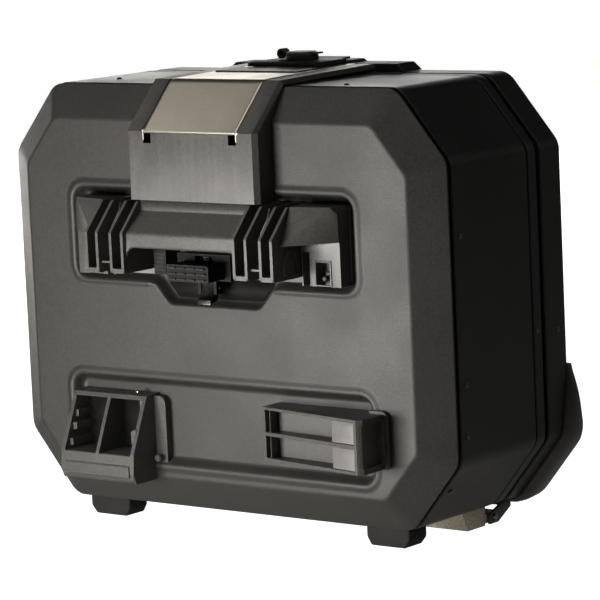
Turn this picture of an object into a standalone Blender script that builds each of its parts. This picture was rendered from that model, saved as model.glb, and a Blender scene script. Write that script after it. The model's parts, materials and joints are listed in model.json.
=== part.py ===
"""Hard side case for a motorcycle, seen as the maker would assemble it.

X runs along the case, +Y from the bike-facing panel to the outer lid, +Z up.
Everything hangs on one empty whose local frame has y = 0 at the seam between
the inner panel and the side band, and z = 0 at half the height of the case.
The world origin is the middle of the bounding box, at the feet's lower face.
"""

import math

import bmesh
import bpy
from mathutils import Matrix, Vector

# Driving dimensions, in metres.
HALF_LENGTH = 0.245
HALF_HEIGHT = 0.1925
CHAMFER_X = 0.051
CHAMFER_Z = 0.062
CORNER_RADIUS = 0.020
ARC_STEPS = 3
GAP = 0.0003
WALL = 0.003

PANEL_FACE_Y = -0.0265
PANEL_INSET = 0.030
BAND_REAR_Y = 0.1145
TRIM_REAR_Y = 0.1280
SEAL_REAR_Y = 0.1327
LID_FRONT_Y = 0.1333
LID_RIM_REAR_Y = 0.1500
LID_EDGE_Y = 0.1640
LID_FACE_Y = 0.1940
LID_BOSS_Y = 0.2000
LID_INSET = 0.034
BAND_WALL = 0.0025
RING_DEPTH = 0.0080
RING_EDGE = 0.0010
SEAL_INSET = 0.0035

UPPER_FLOOR_Y = -0.0155
LOWER_FLOOR_Y = -0.0175
CLAW_FRONT_Y = -0.0740
GRIP_FRONT_Y = -0.0700
BRIDGE_FRONT_Y = -0.0500
BRIDGE_HALF = 0.0740
BRIDGE_BOTTOM_Z = 0.0935
RAIL_INNER = 0.0545
STRAP_HALF = 0.0537
STRAP_THICK = 0.0015

HINGE_Y = 0.1235
HINGE_Z = -0.2035
FOOT_BOTTOM_Z = -0.2105
LEVER_PIVOT_Y = 0.0880
LEVER_PIVOT_Z = 0.2030
LOCK_Y = 0.1160
CAP_PIVOT_X = -0.0212
CAP_PIVOT_Z = 0.2104
BUTTON_TRAVEL = 0.006
PAWL_PIVOT_Y = -0.0300
PAWL_PIVOT_Z = 0.0160

CENTRE_Y = (CLAW_FRONT_Y + LID_BOSS_Y) / 2


def clear_scene():
    """Start from an empty scene."""
    for item in list(bpy.data.objects):
        bpy.data.objects.remove(item, do_unlink=True)


clear_scene()
parts = bpy.data.collections.new("side_case")
cutters = bpy.data.collections.new("cutters")
bpy.context.scene.collection.children.link(parts)
bpy.context.scene.collection.children.link(cutters)

frame = bpy.data.objects.new("case_frame", None)
frame.location = (0.0, -CENTRE_Y, -FOOT_BOTTOM_Z)
parts.objects.link(frame)


def make_material(name, colour, roughness, metallic):
    """A Principled material of one colour."""
    material = bpy.data.materials.new(name)
    material.use_nodes = True
    shader = material.node_tree.nodes["Principled BSDF"]
    shader.inputs["Base Color"].default_value = (*colour, 1.0)
    shader.inputs["Roughness"].default_value = roughness
    shader.inputs["Metallic"].default_value = metallic
    return material


FINISHES = {
    "panel": ((0.030, 0.029, 0.027), 0.55, 0.0),
    "band": ((0.018, 0.018, 0.018), 0.45, 0.0),
    "satin": ((0.050, 0.048, 0.046), 0.42, 0.0),
    "dark": ((0.010, 0.010, 0.010), 0.60, 0.0),
    "grey": ((0.190, 0.180, 0.170), 0.50, 0.0),
    "titanium": ((0.420, 0.370, 0.300), 0.35, 1.0),
    "bronze": ((0.300, 0.240, 0.160), 0.40, 1.0),
    "steel": ((0.450, 0.440, 0.430), 0.30, 1.0),
    "rubber": ((0.012, 0.012, 0.012), 0.80, 0.0),
}


def add_object(name, mesh, finish=None, pivot=(0.0, 0.0, 0.0)):
    """Put a mesh on the case frame, with its origin on its pivot."""
    item = bpy.data.objects.new(name, mesh)
    mesh.transform(Matrix.Translation(-Vector(pivot)))
    item.location = pivot
    item.parent = frame
    if finish is None:
        item.hide_render = True
        item.display_type = "WIRE"
        cutters.objects.link(item)
    else:
        mesh.materials.append(make_material(name, *FINISHES[finish]))
        parts.objects.link(item)
    return item


def finish_mesh(bm, name, finish=None, pivot=(0.0, 0.0, 0.0)):
    """Turn a bmesh into an object with its faces pointing out."""
    bmesh.ops.recalc_face_normals(bm, faces=bm.faces)
    mesh = bpy.data.meshes.new(name)
    bm.to_mesh(mesh)
    bm.free()
    return add_object(name, mesh, finish, pivot)


def box(name, low, high, finish=None, pivot=(0.0, 0.0, 0.0)):
    """A block between two opposite corners."""
    bm = bmesh.new()
    bmesh.ops.create_cube(bm, size=1.0)
    low = Vector(low)
    high = Vector(high)
    bmesh.ops.scale(bm, vec=high - low, verts=bm.verts)
    bmesh.ops.translate(bm, vec=(low + high) / 2, verts=bm.verts)
    return finish_mesh(bm, name, finish, pivot)


AXIS_TURNS = {
    "X": Matrix.Rotation(math.radians(90), 4, "Y"),
    "Y": Matrix.Rotation(math.radians(-90), 4, "X"),
    "Z": Matrix.Identity(4),
}


def cylinder(
    name, centre, axis, radius, length, finish=None, pivot=(0.0, 0.0, 0.0), tip=None, sides=16
):
    """A round bar, or a cone frustum when a tip radius is given."""
    bm = bmesh.new()
    end_radius = radius if tip is None else tip
    bmesh.ops.create_cone(
        bm, cap_ends=True, segments=sides, radius1=radius, radius2=end_radius, depth=length
    )
    bmesh.ops.transform(bm, matrix=Matrix.Translation(centre) @ AXIS_TURNS[axis], verts=bm.verts)
    return finish_mesh(bm, name, finish, pivot)


def hull(name, points, finish=None, pivot=(0.0, 0.0, 0.0)):
    """The convex block round a set of corner points."""
    bm = bmesh.new()
    for point in points:
        bm.verts.new(point)
    bmesh.ops.convex_hull(bm, input=bm.verts)
    bmesh.ops.dissolve_limit(bm, angle_limit=0.001, verts=bm.verts, edges=bm.edges)
    return finish_mesh(bm, name, finish, pivot)


def prism(name, outline, axis, start, end, finish=None, pivot=(0.0, 0.0, 0.0)):
    """A flat outline pushed along X, Y or Z from start to end."""
    bm = bmesh.new()
    corners = []
    for a, b in outline:
        place = {"X": (start, a, b), "Y": (a, start, b), "Z": (a, b, start)}[axis]
        corners.append(bm.verts.new(place))
    face = bm.faces.new(corners)
    pushed = bmesh.ops.extrude_face_region(bm, geom=[face])["geom"]
    step = {"X": (end - start, 0, 0), "Y": (0, end - start, 0), "Z": (0, 0, end - start)}[axis]
    moved = [v for v in pushed if isinstance(v, bmesh.types.BMVert)]
    bmesh.ops.translate(bm, vec=step, verts=moved)
    return finish_mesh(bm, name, finish, pivot)


def combine(target, other, operation):
    """Add an exact Boolean of another object to the target."""
    modifier = target.modifiers.new(other.name, "BOOLEAN")
    modifier.operation = operation
    modifier.solver = "EXACT"
    modifier.object = other


def cut(target, *tools):
    """Take each tool's shape away from the target."""
    for tool in tools:
        combine(target, tool, "DIFFERENCE")


def fuse(target, *tools):
    """Join each tool's shape to the target."""
    for tool in tools:
        combine(target, tool, "UNION")


def rounded(corners, radius, steps=ARC_STEPS):
    """Replace each corner of a closed outline by an arc of the given radius."""
    points = []
    for index, corner in enumerate(corners):
        corner = Vector(corner)
        back = (Vector(corners[index - 1]) - corner).normalized()
        ahead = (Vector(corners[(index + 1) % len(corners)]) - corner).normalized()
        half = back.angle(ahead) / 2
        centre = corner + (back + ahead).normalized() * radius / math.sin(half)
        arm = corner + back * radius / math.tan(half) - centre
        turn = math.pi - 2 * half
        if back.x * ahead.y - back.y * ahead.x > 0:
            turn = -turn
        for step in range(steps + 1):
            angle = turn * step / steps
            across = arm.x * math.cos(angle) - arm.y * math.sin(angle)
            along = arm.x * math.sin(angle) + arm.y * math.cos(angle)
            points.append((centre.x + across, centre.y + along))
    return points


def case_outline(inset):
    """The eight-sided case outline in X and Z, drawn in by an inset."""
    slant = math.hypot(CHAMFER_X, CHAMFER_Z)
    side = HALF_LENGTH - inset
    top = HALF_HEIGHT - inset
    reach = CHAMFER_Z * HALF_LENGTH + CHAMFER_X * (HALF_HEIGHT - CHAMFER_Z) - inset * slant
    top_x = (reach - CHAMFER_X * top) / CHAMFER_Z
    side_z = (reach - CHAMFER_Z * side) / CHAMFER_X
    quarter = [(side, side_z), (top_x, top)]
    corners = list(quarter)
    corners += [(-x, z) for x, z in reversed(quarter)]
    corners += [(-x, -z) for x, z in quarter]
    corners += [(x, -z) for x, z in reversed(quarter)]
    return rounded(corners, max(CORNER_RADIUS - inset * 0.3, 0.008))


def sweep(name, profile, closed, finish):
    """Carry a profile of (inset, y) points round the case outline.

    A closed profile makes a ring. An open one makes a cup whose first and last
    points are closed by flat faces.
    """
    bm = bmesh.new()
    rings = []
    for inset, y in profile:
        rings.append([bm.verts.new((x, y, z)) for x, z in case_outline(inset)])
    pairs = list(zip(rings, rings[1:]))
    if closed:
        pairs.append((rings[-1], rings[0]))
    for ring, following in pairs:
        for index in range(len(ring)):
            after = (index + 1) % len(ring)
            bm.faces.new((ring[index], ring[after], following[after], following[index]))
    if not closed:
        bm.faces.new(rings[0])
        bm.faces.new(rings[-1])
    return finish_mesh(bm, name, finish)


def rectangle(x_low, x_high, z_low, z_high):
    """Corners of an upright rectangle, anticlockwise."""
    return [(x_low, z_low), (x_high, z_low), (x_high, z_high), (x_low, z_high)]


SIDES = (("left", -1), ("right", 1))


def span(side, near, far):
    """The X range of a piece that lies between two distances from the middle."""
    return (side * near, side * far) if side > 0 else (side * far, side * near)


# Inner panel: a moulded pan with two sunk fields for the mounting hardware.
UPPER_FIELD = rectangle(-0.160, 0.160, 0.0165, 0.1010)
BUMP_OUT = [(-0.052, -0.0040), (0.052, -0.0040), (0.070, 0.0300), (-0.070, 0.0300)]
LOWER_FIELD = rectangle(-0.172, 0.172, -0.1500, -0.0720)


BUMP_BOSS = [(-0.054, -0.0070), (0.054, -0.0070), (0.0735, 0.0300), (-0.0735, 0.0300)]
FIELD_RADIUS = 0.012


def widened(corners, margin):
    """A rectangle's corners moved out by a margin."""
    (x_low, z_low), (x_high, z_high) = corners[0], corners[2]
    return rectangle(x_low - margin, x_high + margin, z_low - margin, z_high + margin)


def inner_panel():
    """The pan, its bosses inside and the fields sunk from the front."""
    profile = [
        (PANEL_INSET, PANEL_FACE_Y),
        (0.0040, -0.0045),
        (0.0, -0.0010),
        (0.0, -GAP),
        (WALL, -GAP),
        (0.0065, -0.0035),
        (PANEL_INSET + 0.0015, PANEL_FACE_Y + WALL),
    ]
    panel = sweep("inner_panel", profile, False, "panel")
    upper = rounded(UPPER_FIELD, FIELD_RADIUS)
    upper_boss = rounded(widened(UPPER_FIELD, WALL), FIELD_RADIUS + WALL)
    lower = rounded(LOWER_FIELD, FIELD_RADIUS)
    lower_boss = rounded(widened(LOWER_FIELD, WALL), FIELD_RADIUS + WALL)
    fields = (
        ("upper", upper, upper_boss, UPPER_FLOOR_Y),
        ("bump", BUMP_OUT, BUMP_BOSS, UPPER_FLOOR_Y),
        ("lower", lower, lower_boss, LOWER_FLOOR_Y),
    )
    for field, _, boss, floor_y in fields:
        fuse(panel, prism(field + "_boss", boss, "Y", PANEL_FACE_Y + 0.001, floor_y + WALL))
    for field, hollow, _, floor_y in fields:
        cut(panel, prism(field + "_field", hollow, "Y", PANEL_FACE_Y - 0.01, floor_y))


# Rings that make the body and the lid.
def rings():
    """Side band, trim ring, seal, lid rim and lid shell."""
    band = [(0, 0), (0, BAND_REAR_Y - GAP), (BAND_WALL, BAND_REAR_Y - GAP), (BAND_WALL, 0)]
    sweep("side_band", band, True, "band")
    trim = [
        (0, BAND_REAR_Y),
        (0, TRIM_REAR_Y - RING_EDGE),
        (RING_EDGE, TRIM_REAR_Y),
        (RING_DEPTH, TRIM_REAR_Y),
        (RING_DEPTH, BAND_REAR_Y),
    ]
    sweep("trim_ring", trim, True, "band")
    seal = [
        (SEAL_INSET, TRIM_REAR_Y + GAP),
        (SEAL_INSET, SEAL_REAR_Y),
        (RING_DEPTH, SEAL_REAR_Y),
        (RING_DEPTH, TRIM_REAR_Y + GAP),
    ]
    sweep("lid_seal", seal, True, "rubber")
    rim = [
        (RING_EDGE, LID_FRONT_Y),
        (0, LID_FRONT_Y + RING_EDGE),
        (0, LID_RIM_REAR_Y - GAP),
        (RING_DEPTH, LID_RIM_REAR_Y - GAP),
        (RING_DEPTH, LID_FRONT_Y),
    ]
    sweep("lid_rim", rim, True, "band")
    shell_profile = [
        (0.008, LID_RIM_REAR_Y),
        (0.0, LID_RIM_REAR_Y),
        (0.0, LID_EDGE_Y - 0.002),
        (0.0020, LID_EDGE_Y),
        (LID_INSET, LID_FACE_Y),
    ]
    inner_profile = [
        (LID_INSET + 0.002, LID_FACE_Y - WALL),
        (0.0050, LID_EDGE_Y - 0.0025),
        (0.0050, LID_RIM_REAR_Y + 0.004),
        (0.008, LID_RIM_REAR_Y + 0.004),
    ]
    lid_shell(shell_profile, inner_profile)


def lid_shell(outer, inner):
    """Outer lid: an open shell of one thickness, and the cover panel on its face."""
    bm = bmesh.new()
    rings_made = []
    for inset, y in list(reversed(outer)) + list(reversed(inner)):
        rings_made.append([bm.verts.new((x, y, z)) for x, z in case_outline(inset)])
    for ring, following in zip(rings_made, rings_made[1:]):
        for index in range(len(ring)):
            after = (index + 1) % len(ring)
            bm.faces.new((ring[index], ring[after], following[after], following[index]))
    bm.faces.new(rings_made[0])
    bm.faces.new(rings_made[-1])
    finish_mesh(bm, "lid_shell", "panel")
    cover = rounded(rectangle(-0.165, 0.165, -0.105, 0.105), 0.020)
    prism("lid_cover", cover, "Y", LID_FACE_Y + GAP, LID_BOSS_Y, "satin")


def corner_guards():
    """Bumpers that wrap the lid's lower corners, hollowed to the lid's shape."""
    lid_space = [
        (-GAP, LID_RIM_REAR_Y - 0.010),
        (-GAP, LID_EDGE_Y - 0.0015),
        (0.0015, LID_EDGE_Y + 0.0005),
        (LID_INSET - 0.0005, LID_FACE_Y + 0.0008),
    ]
    for word, side in SIDES:
        outline = [
            (side * 0.1650, -0.2025),
            (side * 0.1980, -0.1990),
            (side * 0.2535, -0.1270),
            (side * 0.2535, -0.1050),
            (side * 0.2480, -0.0750),
            (side * 0.2440, -0.0670),
            (side * 0.2200, -0.0670),
            (side * 0.1650, -0.1700),
        ]
        guard = prism("corner_guard_" + word, outline, "Y", LID_RIM_REAR_Y + 0.001, 0.1860, "satin")
        cut(guard, sweep("lid_space_" + word, lid_space, False, None))
        slope = [
            (side * 0.3000, 0.1400),
            (side * 0.3000, 0.1900),
            (side * 0.2330, 0.1900),
            (side * 0.2570, 0.1690),
            (side * 0.2570, 0.1400),
        ]
        cut(guard, prism("guard_slope_" + word, slope, "Z", -0.2200, -0.0500))


def feet():
    """Two short feet under the front edge of the case."""
    for word, side in SIDES:
        points = []
        for y in (0.0015, 0.0280):
            points.append((side * 0.1370, y, -HALF_HEIGHT - GAP))
            points.append((side * 0.1840, y, -HALF_HEIGHT - GAP))
            points.append((side * 0.1370, y, -0.2030))
            points.append((side * 0.1840, y, -0.2030))
            points.append((side * 0.1415, y, FOOT_BOTTOM_Z))
            points.append((side * 0.1780, y, FOOT_BOTTOM_Z))
        hull("foot_" + word, points, "rubber")


def hinges():
    """Two hinges under the seam: a bronze bracket, a lid leaf and a pin each."""
    for word, side in SIDES:
        low, high = span(side, 0.1400, 0.1860)
        bracket_outline = [
            (0.0780, -HALF_HEIGHT - GAP),
            (0.0860, FOOT_BOTTOM_Z),
            (0.1130, FOOT_BOTTOM_Z),
            (0.1140, -HALF_HEIGHT - GAP),
        ]
        bracket = prism("hinge_bracket_" + word, bracket_outline, "X", low, high, "bronze")
        middle = (low + high) / 2
        barrel = cylinder("barrel_" + word, (middle, HINGE_Y, HINGE_Z), "X", 0.0062, high - low)
        web = box("web_" + word, (low, 0.1100, -0.2085), (high, HINGE_Y, -0.2010))
        bore = cylinder("bore_" + word, (middle, HINGE_Y, HINGE_Z), "X", 0.0028, high - low + 0.01)
        fuse(bracket, web, barrel)
        cut(bracket, bore)
        leaf_low, leaf_high = span(side, 0.1863, 0.1893)
        leaf_outline = [
            (0.1365, -HALF_HEIGHT - 2 * GAP),
            (0.1165, -0.2010),
            (0.1165, -0.2095),
            (0.1290, -0.2095),
            (0.1495, -0.1985),
            (0.1495, -HALF_HEIGHT - 2 * GAP),
        ]
        leaf = prism("hinge_leaf_" + word, leaf_outline, "X", leaf_low, leaf_high, "dark")
        foot_low, foot_high = span(side, 0.1640, 0.1880)
        flange_top = -HALF_HEIGHT - 2 * GAP
        flange = box("flange_" + word, (foot_low, 0.1345, -0.1955), (foot_high, 0.1495, flange_top))
        leaf_bore = cylinder("leaf_bore_" + word, (side * 0.188, HINGE_Y, HINGE_Z), "X", 0.0028, 0.02)
        fuse(leaf, flange)
        cut(leaf, leaf_bore)
        cylinder("hinge_pin_" + word, (side * 0.1655, HINGE_Y, HINGE_Z), "X", 0.0025, 0.0520, "steel")


# Bridge: the moulded cover that carries the load from the grip over the top.
BRIDGE_OUTER = [
    (BRIDGE_FRONT_Y, BRIDGE_BOTTOM_Z),
    (BRIDGE_FRONT_Y, 0.1550),
    (-0.0080, 0.1975),
    (TRIM_REAR_Y, 0.2005),
    (TRIM_REAR_Y, HALF_HEIGHT + 0.0005),
    (-0.0043, HALF_HEIGHT + 0.0005),
    (PANEL_FACE_Y - 0.0006, 0.1630),
    (PANEL_FACE_Y - 0.0006, BRIDGE_BOTTOM_Z),
]


def bridge():
    """Bridge cover with hollow front, a bed for the strap and two hook slots."""
    cover = prism("bridge_cover", BRIDGE_OUTER, "X", -BRIDGE_HALF, BRIDGE_HALF, "satin")
    hollow = [
        (BRIDGE_FRONT_Y + WALL, BRIDGE_BOTTOM_Z - 0.01),
        (BRIDGE_FRONT_Y + WALL, 0.1536),
        (-0.0150, 0.1850),
        (0.0, 0.1700),
        (0.0, BRIDGE_BOTTOM_Z - 0.01),
    ]
    cut(cover, prism("bridge_hollow", hollow, "X", -BRIDGE_HALF + 0.005, BRIDGE_HALF - 0.005))
    bed = [
        (-0.0530, 0.1507),
        (-0.0484, 0.1548),
        (-0.0073, 0.1957),
        (TRIM_REAR_Y + 0.001, 0.1987),
        (TRIM_REAR_Y + 0.001, 0.2100),
        (-0.0530, 0.2100),
    ]
    cut(cover, prism("strap_bed", bed, "X", -RAIL_INNER, RAIL_INNER))
    for word, side in SIDES:
        low, high = span(side, 0.0440, 0.0530)
        cut(cover, box("hook_slot_" + word, (low, -0.0550, 0.1445), (high, -0.0460, 0.1550)))
        edge = [
            (side * 0.0700, -0.0600),
            (side * 0.0700, BRIDGE_FRONT_Y),
            (side * 0.0745, -0.0450),
            (side * 0.0800, -0.0450),
            (side * 0.0800, -0.0600),
        ]
        cut(cover, prism("edge_" + word, edge, "Z", 0.0800, 0.1550))


def strap():
    """The metal strap plate in the bridge's bed, notched round the latch lever."""
    outline = [
        (-0.0495, 0.1540),
        (-0.0485, 0.1552),
        (-0.0076, 0.1961),
        (TRIM_REAR_Y, 0.1990),
        (TRIM_REAR_Y, 0.2005),
        (-0.0082, 0.1976),
        (-0.0505, 0.1550),
    ]
    plate = prism("strap_plate", outline, "X", -STRAP_HALF, STRAP_HALF, "titanium")
    cut(plate, box("lever_notch", (-0.0395, 0.0820, 0.1900), (0.0395, 0.1400, 0.2100)))
    for word, side in SIDES:
        low, high = span(side, 0.0505, 0.0520)
        fuse(plate, box("strap_hook_" + word, (low, -0.0499, 0.1465), (high, -0.0470, 0.1549)))


def latch():
    """Latch lever with the lock, its plug and the dust cap, and the lid's keeper."""
    pivot = (0.0, LEVER_PIVOT_Y, LEVER_PIVOT_Z)
    outline = [
        (0.0840, 0.2010),
        (0.0840, 0.2035),
        (0.0880, 0.2050),
        (0.1340, 0.2050),
        (0.1490, 0.2056),
        (0.1490, 0.2036),
        (0.1325, 0.2034),
        (0.1310, 0.2010),
    ]
    lever = prism("latch_lever", outline, "X", -0.0380, 0.0380, "dark", pivot)
    for word, side in SIDES:
        low, high = span(side, 0.0300, 0.0500)
        cut(lever, box("lever_corner_" + word, (low, 0.1320, 0.1900), (high, 0.1600, 0.2200)))
    cut(lever, cylinder("lever_bore", pivot, "X", 0.0010, 0.0900))
    cylinder("latch_lever_pin", pivot, "X", 0.0007, 0.0750, "steel", sides=12)
    housing = cylinder("lock_housing", (0.0, LOCK_Y, 0.2074), "Z", 0.0158, 0.0042, "dark", pivot, 0.0150, 24)
    cut(housing, cylinder("lock_bore", (0.0, LOCK_Y, 0.2074), "Z", 0.0103, 0.02, sides=24))
    plug_pivot = (0.0, LOCK_Y, 0.2053)
    plug = cylinder("lock_plug", (0.0, LOCK_Y, 0.2071), "Z", 0.0100, 0.0035, "steel", plug_pivot, sides=24)
    cut(plug, box("key_slot", (-0.0040, LOCK_Y - 0.0006, 0.2065), (0.0040, LOCK_Y + 0.0006, 0.2120)))
    cap_pivot = (CAP_PIVOT_X, LOCK_Y, CAP_PIVOT_Z)
    cap = cylinder("dust_cap", (0.0, LOCK_Y, 0.2112), "Z", 0.0148, 0.0028, "satin", cap_pivot, 0.0135, 24)
    loop = cylinder("cap_loop", (CAP_PIVOT_X, LOCK_Y, CAP_PIVOT_Z), "Y", 0.0048, 0.0080)
    strip = box("cap_strip", (CAP_PIVOT_X, LOCK_Y - 0.0035, 0.2106), (-0.0100, LOCK_Y + 0.0035, 0.2121))
    tab = box("cap_tab", (0.0100, LOCK_Y - 0.0040, 0.2105), (0.0215, LOCK_Y + 0.0040, 0.2122))
    fuse(cap, loop, strip, tab)
    cut(cap, cylinder("cap_loop_hole", (CAP_PIVOT_X, LOCK_Y, CAP_PIVOT_Z), "Y", 0.0026, 0.0200))
    keeper = []
    for y in (LID_FRONT_Y + 0.0005, 0.1620):
        for sign in (-1, 1):
            keeper.append((sign * 0.1100, y, HALF_HEIGHT + 0.0005))
            keeper.append((sign * 0.0960, y, 0.2030))
    hull("lid_keeper", keeper, "dark")


# Mounting hardware in the upper field.
HOUSING_BACK_Y = UPPER_FLOOR_Y - GAP
HOUSING_PLATE_Y = -0.0195
HOUSING_END = 0.1500
CLAW_WALLS = (0.0622, 0.0755, 0.0914, 0.1037)
CLAW_WALL_THICK = 0.0028
CLAW_PROFILE = [
    (HOUSING_PLATE_Y - GAP, 0.0300),
    (-0.0725, 0.0300),
    (CLAW_FRONT_Y, 0.0330),
    (CLAW_FRONT_Y, 0.0650),
    (-0.0725, 0.0680),
    (-0.0495, 0.0925),
    (HOUSING_PLATE_Y - GAP, 0.0925),
]


def mount_housing():
    """The moulded carrier: a back plate and a faceted block at each end."""
    plate_low = (-HOUSING_END, HOUSING_PLATE_Y, 0.0225)
    plate = box("mount_housing", plate_low, (HOUSING_END, HOUSING_BACK_Y, 0.0925), "satin")
    for word, side in SIDES:
        brow = [
            (side * 0.1070, HOUSING_BACK_Y - 0.001, 0.0925),
            (side * 0.1495, HOUSING_BACK_Y - 0.001, 0.0925),
            (side * 0.1070, HOUSING_BACK_Y - 0.001, 0.0600),
            (side * 0.1495, HOUSING_BACK_Y - 0.001, 0.0600),
            (side * 0.1070, -0.0480, 0.0925),
            (side * 0.1440, -0.0400, 0.0925),
            (side * 0.1070, -0.0630, 0.0600),
            (side * 0.1495, -0.0360, 0.0620),
            (side * 0.1490, -0.0360, 0.0860),
        ]
        low, high = span(side, 0.1070, 0.1495)
        block_high = (high, HOUSING_BACK_Y - 0.001, 0.0620)
        block = box("end_block_" + word, (low, -0.0350, 0.0225), block_high)
        fuse(plate, block, hull("brow_" + word, brow))
        low, high = span(side, 0.1230, 0.1385)
        cut(plate, box("window_" + word, (low, -0.0400, 0.0200), (high, -0.0230, 0.0440)))
        low, high = span(side, 0.1085, 0.1160)
        cut(plate, box("slot_" + word, (low, -0.0400, 0.0200), (high, -0.0230, 0.0520)))
        low, high = span(side, 0.1255, 0.1360)
        box("side_bolt_" + word, (low, -0.0345, 0.0240), (high, -0.0235, 0.0350), "steel")


def claws():
    """Each claw is four bent walls, joined in pairs at the bottom into loops."""
    for word, side in SIDES:
        low, high = span(side, CLAW_WALLS[0], CLAW_WALLS[3] + CLAW_WALL_THICK)
        claw = prism("claw_" + word, CLAW_PROFILE, "X", low, high, "satin")
        floors = (0.0335, 0.0200, 0.0335)
        for index, floor_z in enumerate(floors):
            near = CLAW_WALLS[index] + CLAW_WALL_THICK
            far = CLAW_WALLS[index + 1]
            low, high = span(side, near, far)
            pocket = box(
                "pocket_%s_%d" % (word, index),
                (low, CLAW_FRONT_Y - 0.01, floor_z),
                (high, HOUSING_PLATE_Y - 0.003, 0.1000),
            )
            cut(claw, pocket)


GRIP_OUTLINE = [
    (-0.0475, 0.0930),
    (-0.0475, 0.0840),
    (-0.0690, 0.0665),
    (GRIP_FRONT_Y, 0.0640),
    (GRIP_FRONT_Y, 0.0535),
    (-0.0675, 0.0510),
    (-0.0600, 0.0510),
    (-0.0570, 0.0535),
    (-0.0570, 0.0620),
    (-0.0400, 0.0790),
    (-0.0400, 0.0870),
    (HOUSING_PLATE_Y - GAP, 0.0870),
    (HOUSING_PLATE_Y - GAP, 0.0930),
]


def grip_and_release():
    """The grip bar, the release slide under it and the pawl that it works."""
    prism("grip_bar", GRIP_OUTLINE, "X", -0.0618, 0.0618, "satin")
    carrier_high = (0.0300, HOUSING_PLATE_Y - GAP, 0.0460)
    carrier = box("release_carrier", (-0.0300, -0.0380, 0.0228), carrier_high, "dark")
    cut(carrier, box("tail_pocket", (-0.0100, -0.0420, 0.0236), (0.0100, -0.0280, 0.0442)))
    for word, side in SIDES:
        low, high = span(side, 0.0075, 0.0105)
        ear = box("ear_" + word, (low, -0.0350, 0.0100), (high, -0.0230, 0.0240))
        fuse(carrier, ear)
    cut(carrier, cylinder("ear_bore", (0.0, PAWL_PIVOT_Y, PAWL_PIVOT_Z), "X", 0.0018, 0.0400, sides=12))
    button = box("release_button", (-0.0235, -0.0620, 0.0240), (0.0235, -0.0384, 0.0390), "dark")
    fuse(button, box("button_tail", (-0.0090, -0.0390, 0.0252), (0.0090, -0.0290, 0.0330)))
    for index in range(3):
        z = 0.0270 + index * 0.0040
        fuse(button, box("ridge_%d" % index, (-0.0200, -0.0630, z), (0.0200, -0.0615, z + 0.0014)))
    pawl_outline = [
        (-0.0335, 0.0200),
        (-0.0260, 0.0200),
        (-0.0260, 0.0130),
        (-0.0300, 0.0040),
        (-0.0400, 0.0010),
        (-0.0400, 0.0050),
        (-0.0345, 0.0090),
    ]
    pawl = prism(
        "mount_pawl", pawl_outline, "X", -0.0070, 0.0070, "steel", (0.0, PAWL_PIVOT_Y, PAWL_PIVOT_Z)
    )
    cut(pawl, cylinder("pawl_bore", (0.0, PAWL_PIVOT_Y, PAWL_PIVOT_Z), "X", 0.0018, 0.0400, sides=12))
    cylinder("pawl_pin", (0.0, PAWL_PIVOT_Y, PAWL_PIVOT_Z), "X", 0.0015, 0.0230, "steel", sides=12)


def release_spring():
    """A short coil above the slide's tail that returns it."""
    turns = 4
    points_per_turn = 8
    coil_radius = 0.0030
    low_z = 0.0338
    high_z = 0.0434
    curve = bpy.data.curves.new("release_spring", "CURVE")
    curve.dimensions = "3D"
    curve.bevel_depth = 0.0004
    curve.bevel_resolution = 2
    curve.use_fill_caps = True
    spline = curve.splines.new("POLY")
    count = turns * points_per_turn + 1
    spline.points.add(count - 1)
    for index in range(count):
        angle = 2 * math.pi * index / points_per_turn
        z = low_z + (high_z - low_z) * index / (count - 1)
        x = coil_radius * math.cos(angle)
        y = -0.0340 + coil_radius * math.sin(angle)
        spline.points[index].co = (x, y, z, 1.0)
    curve.materials.append(make_material("release_spring", *FINISHES["steel"]))
    item = bpy.data.objects.new("release_spring", curve)
    item.parent = frame
    parts.objects.link(item)


# Mounting sockets in the lower field.
SOCKET_BACK_Y = LOWER_FLOOR_Y - GAP
LEFT_LOW_X = -0.1630
LEFT_HIGH_X = -0.0765
RIGHT_LOW_X = 0.0610
RIGHT_END_X = 0.1850
RIGHT_TOP_Z = -0.0857
RIGHT_BOTTOM_Z = -0.1335


def left_socket():
    """A block with a slanted front and two upright pockets."""
    outline = [
        (SOCKET_BACK_Y, -0.0860),
        (-0.0360, -0.0870),
        (-0.0580, -0.1375),
        (-0.0595, -0.1560),
        (-0.0560, -0.1645),
        (PANEL_FACE_Y - GAP, -0.1645),
        (PANEL_FACE_Y - GAP, -0.1480),
        (SOCKET_BACK_Y, -0.1480),
    ]
    socket = prism("socket_left", outline, "X", LEFT_LOW_X, LEFT_HIGH_X, "satin")
    middle = (LEFT_LOW_X + LEFT_HIGH_X) / 2
    half_divider = 0.0018
    side_wall = 0.0040
    pockets = (
        ("outer_pocket", LEFT_LOW_X + side_wall, middle - half_divider),
        ("inner_pocket", middle + half_divider, LEFT_HIGH_X - side_wall),
    )
    for name, low_x, high_x in pockets:
        cut(socket, box(name, (low_x, -0.0800, -0.1385), (high_x, -0.0215, -0.0905)))
    screw_place = (LEFT_HIGH_X - 0.0160, -0.0285, -0.0848)
    cylinder("socket_screw_top", screw_place, "Z", 0.0028, 0.0016, "steel", sides=12)


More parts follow.
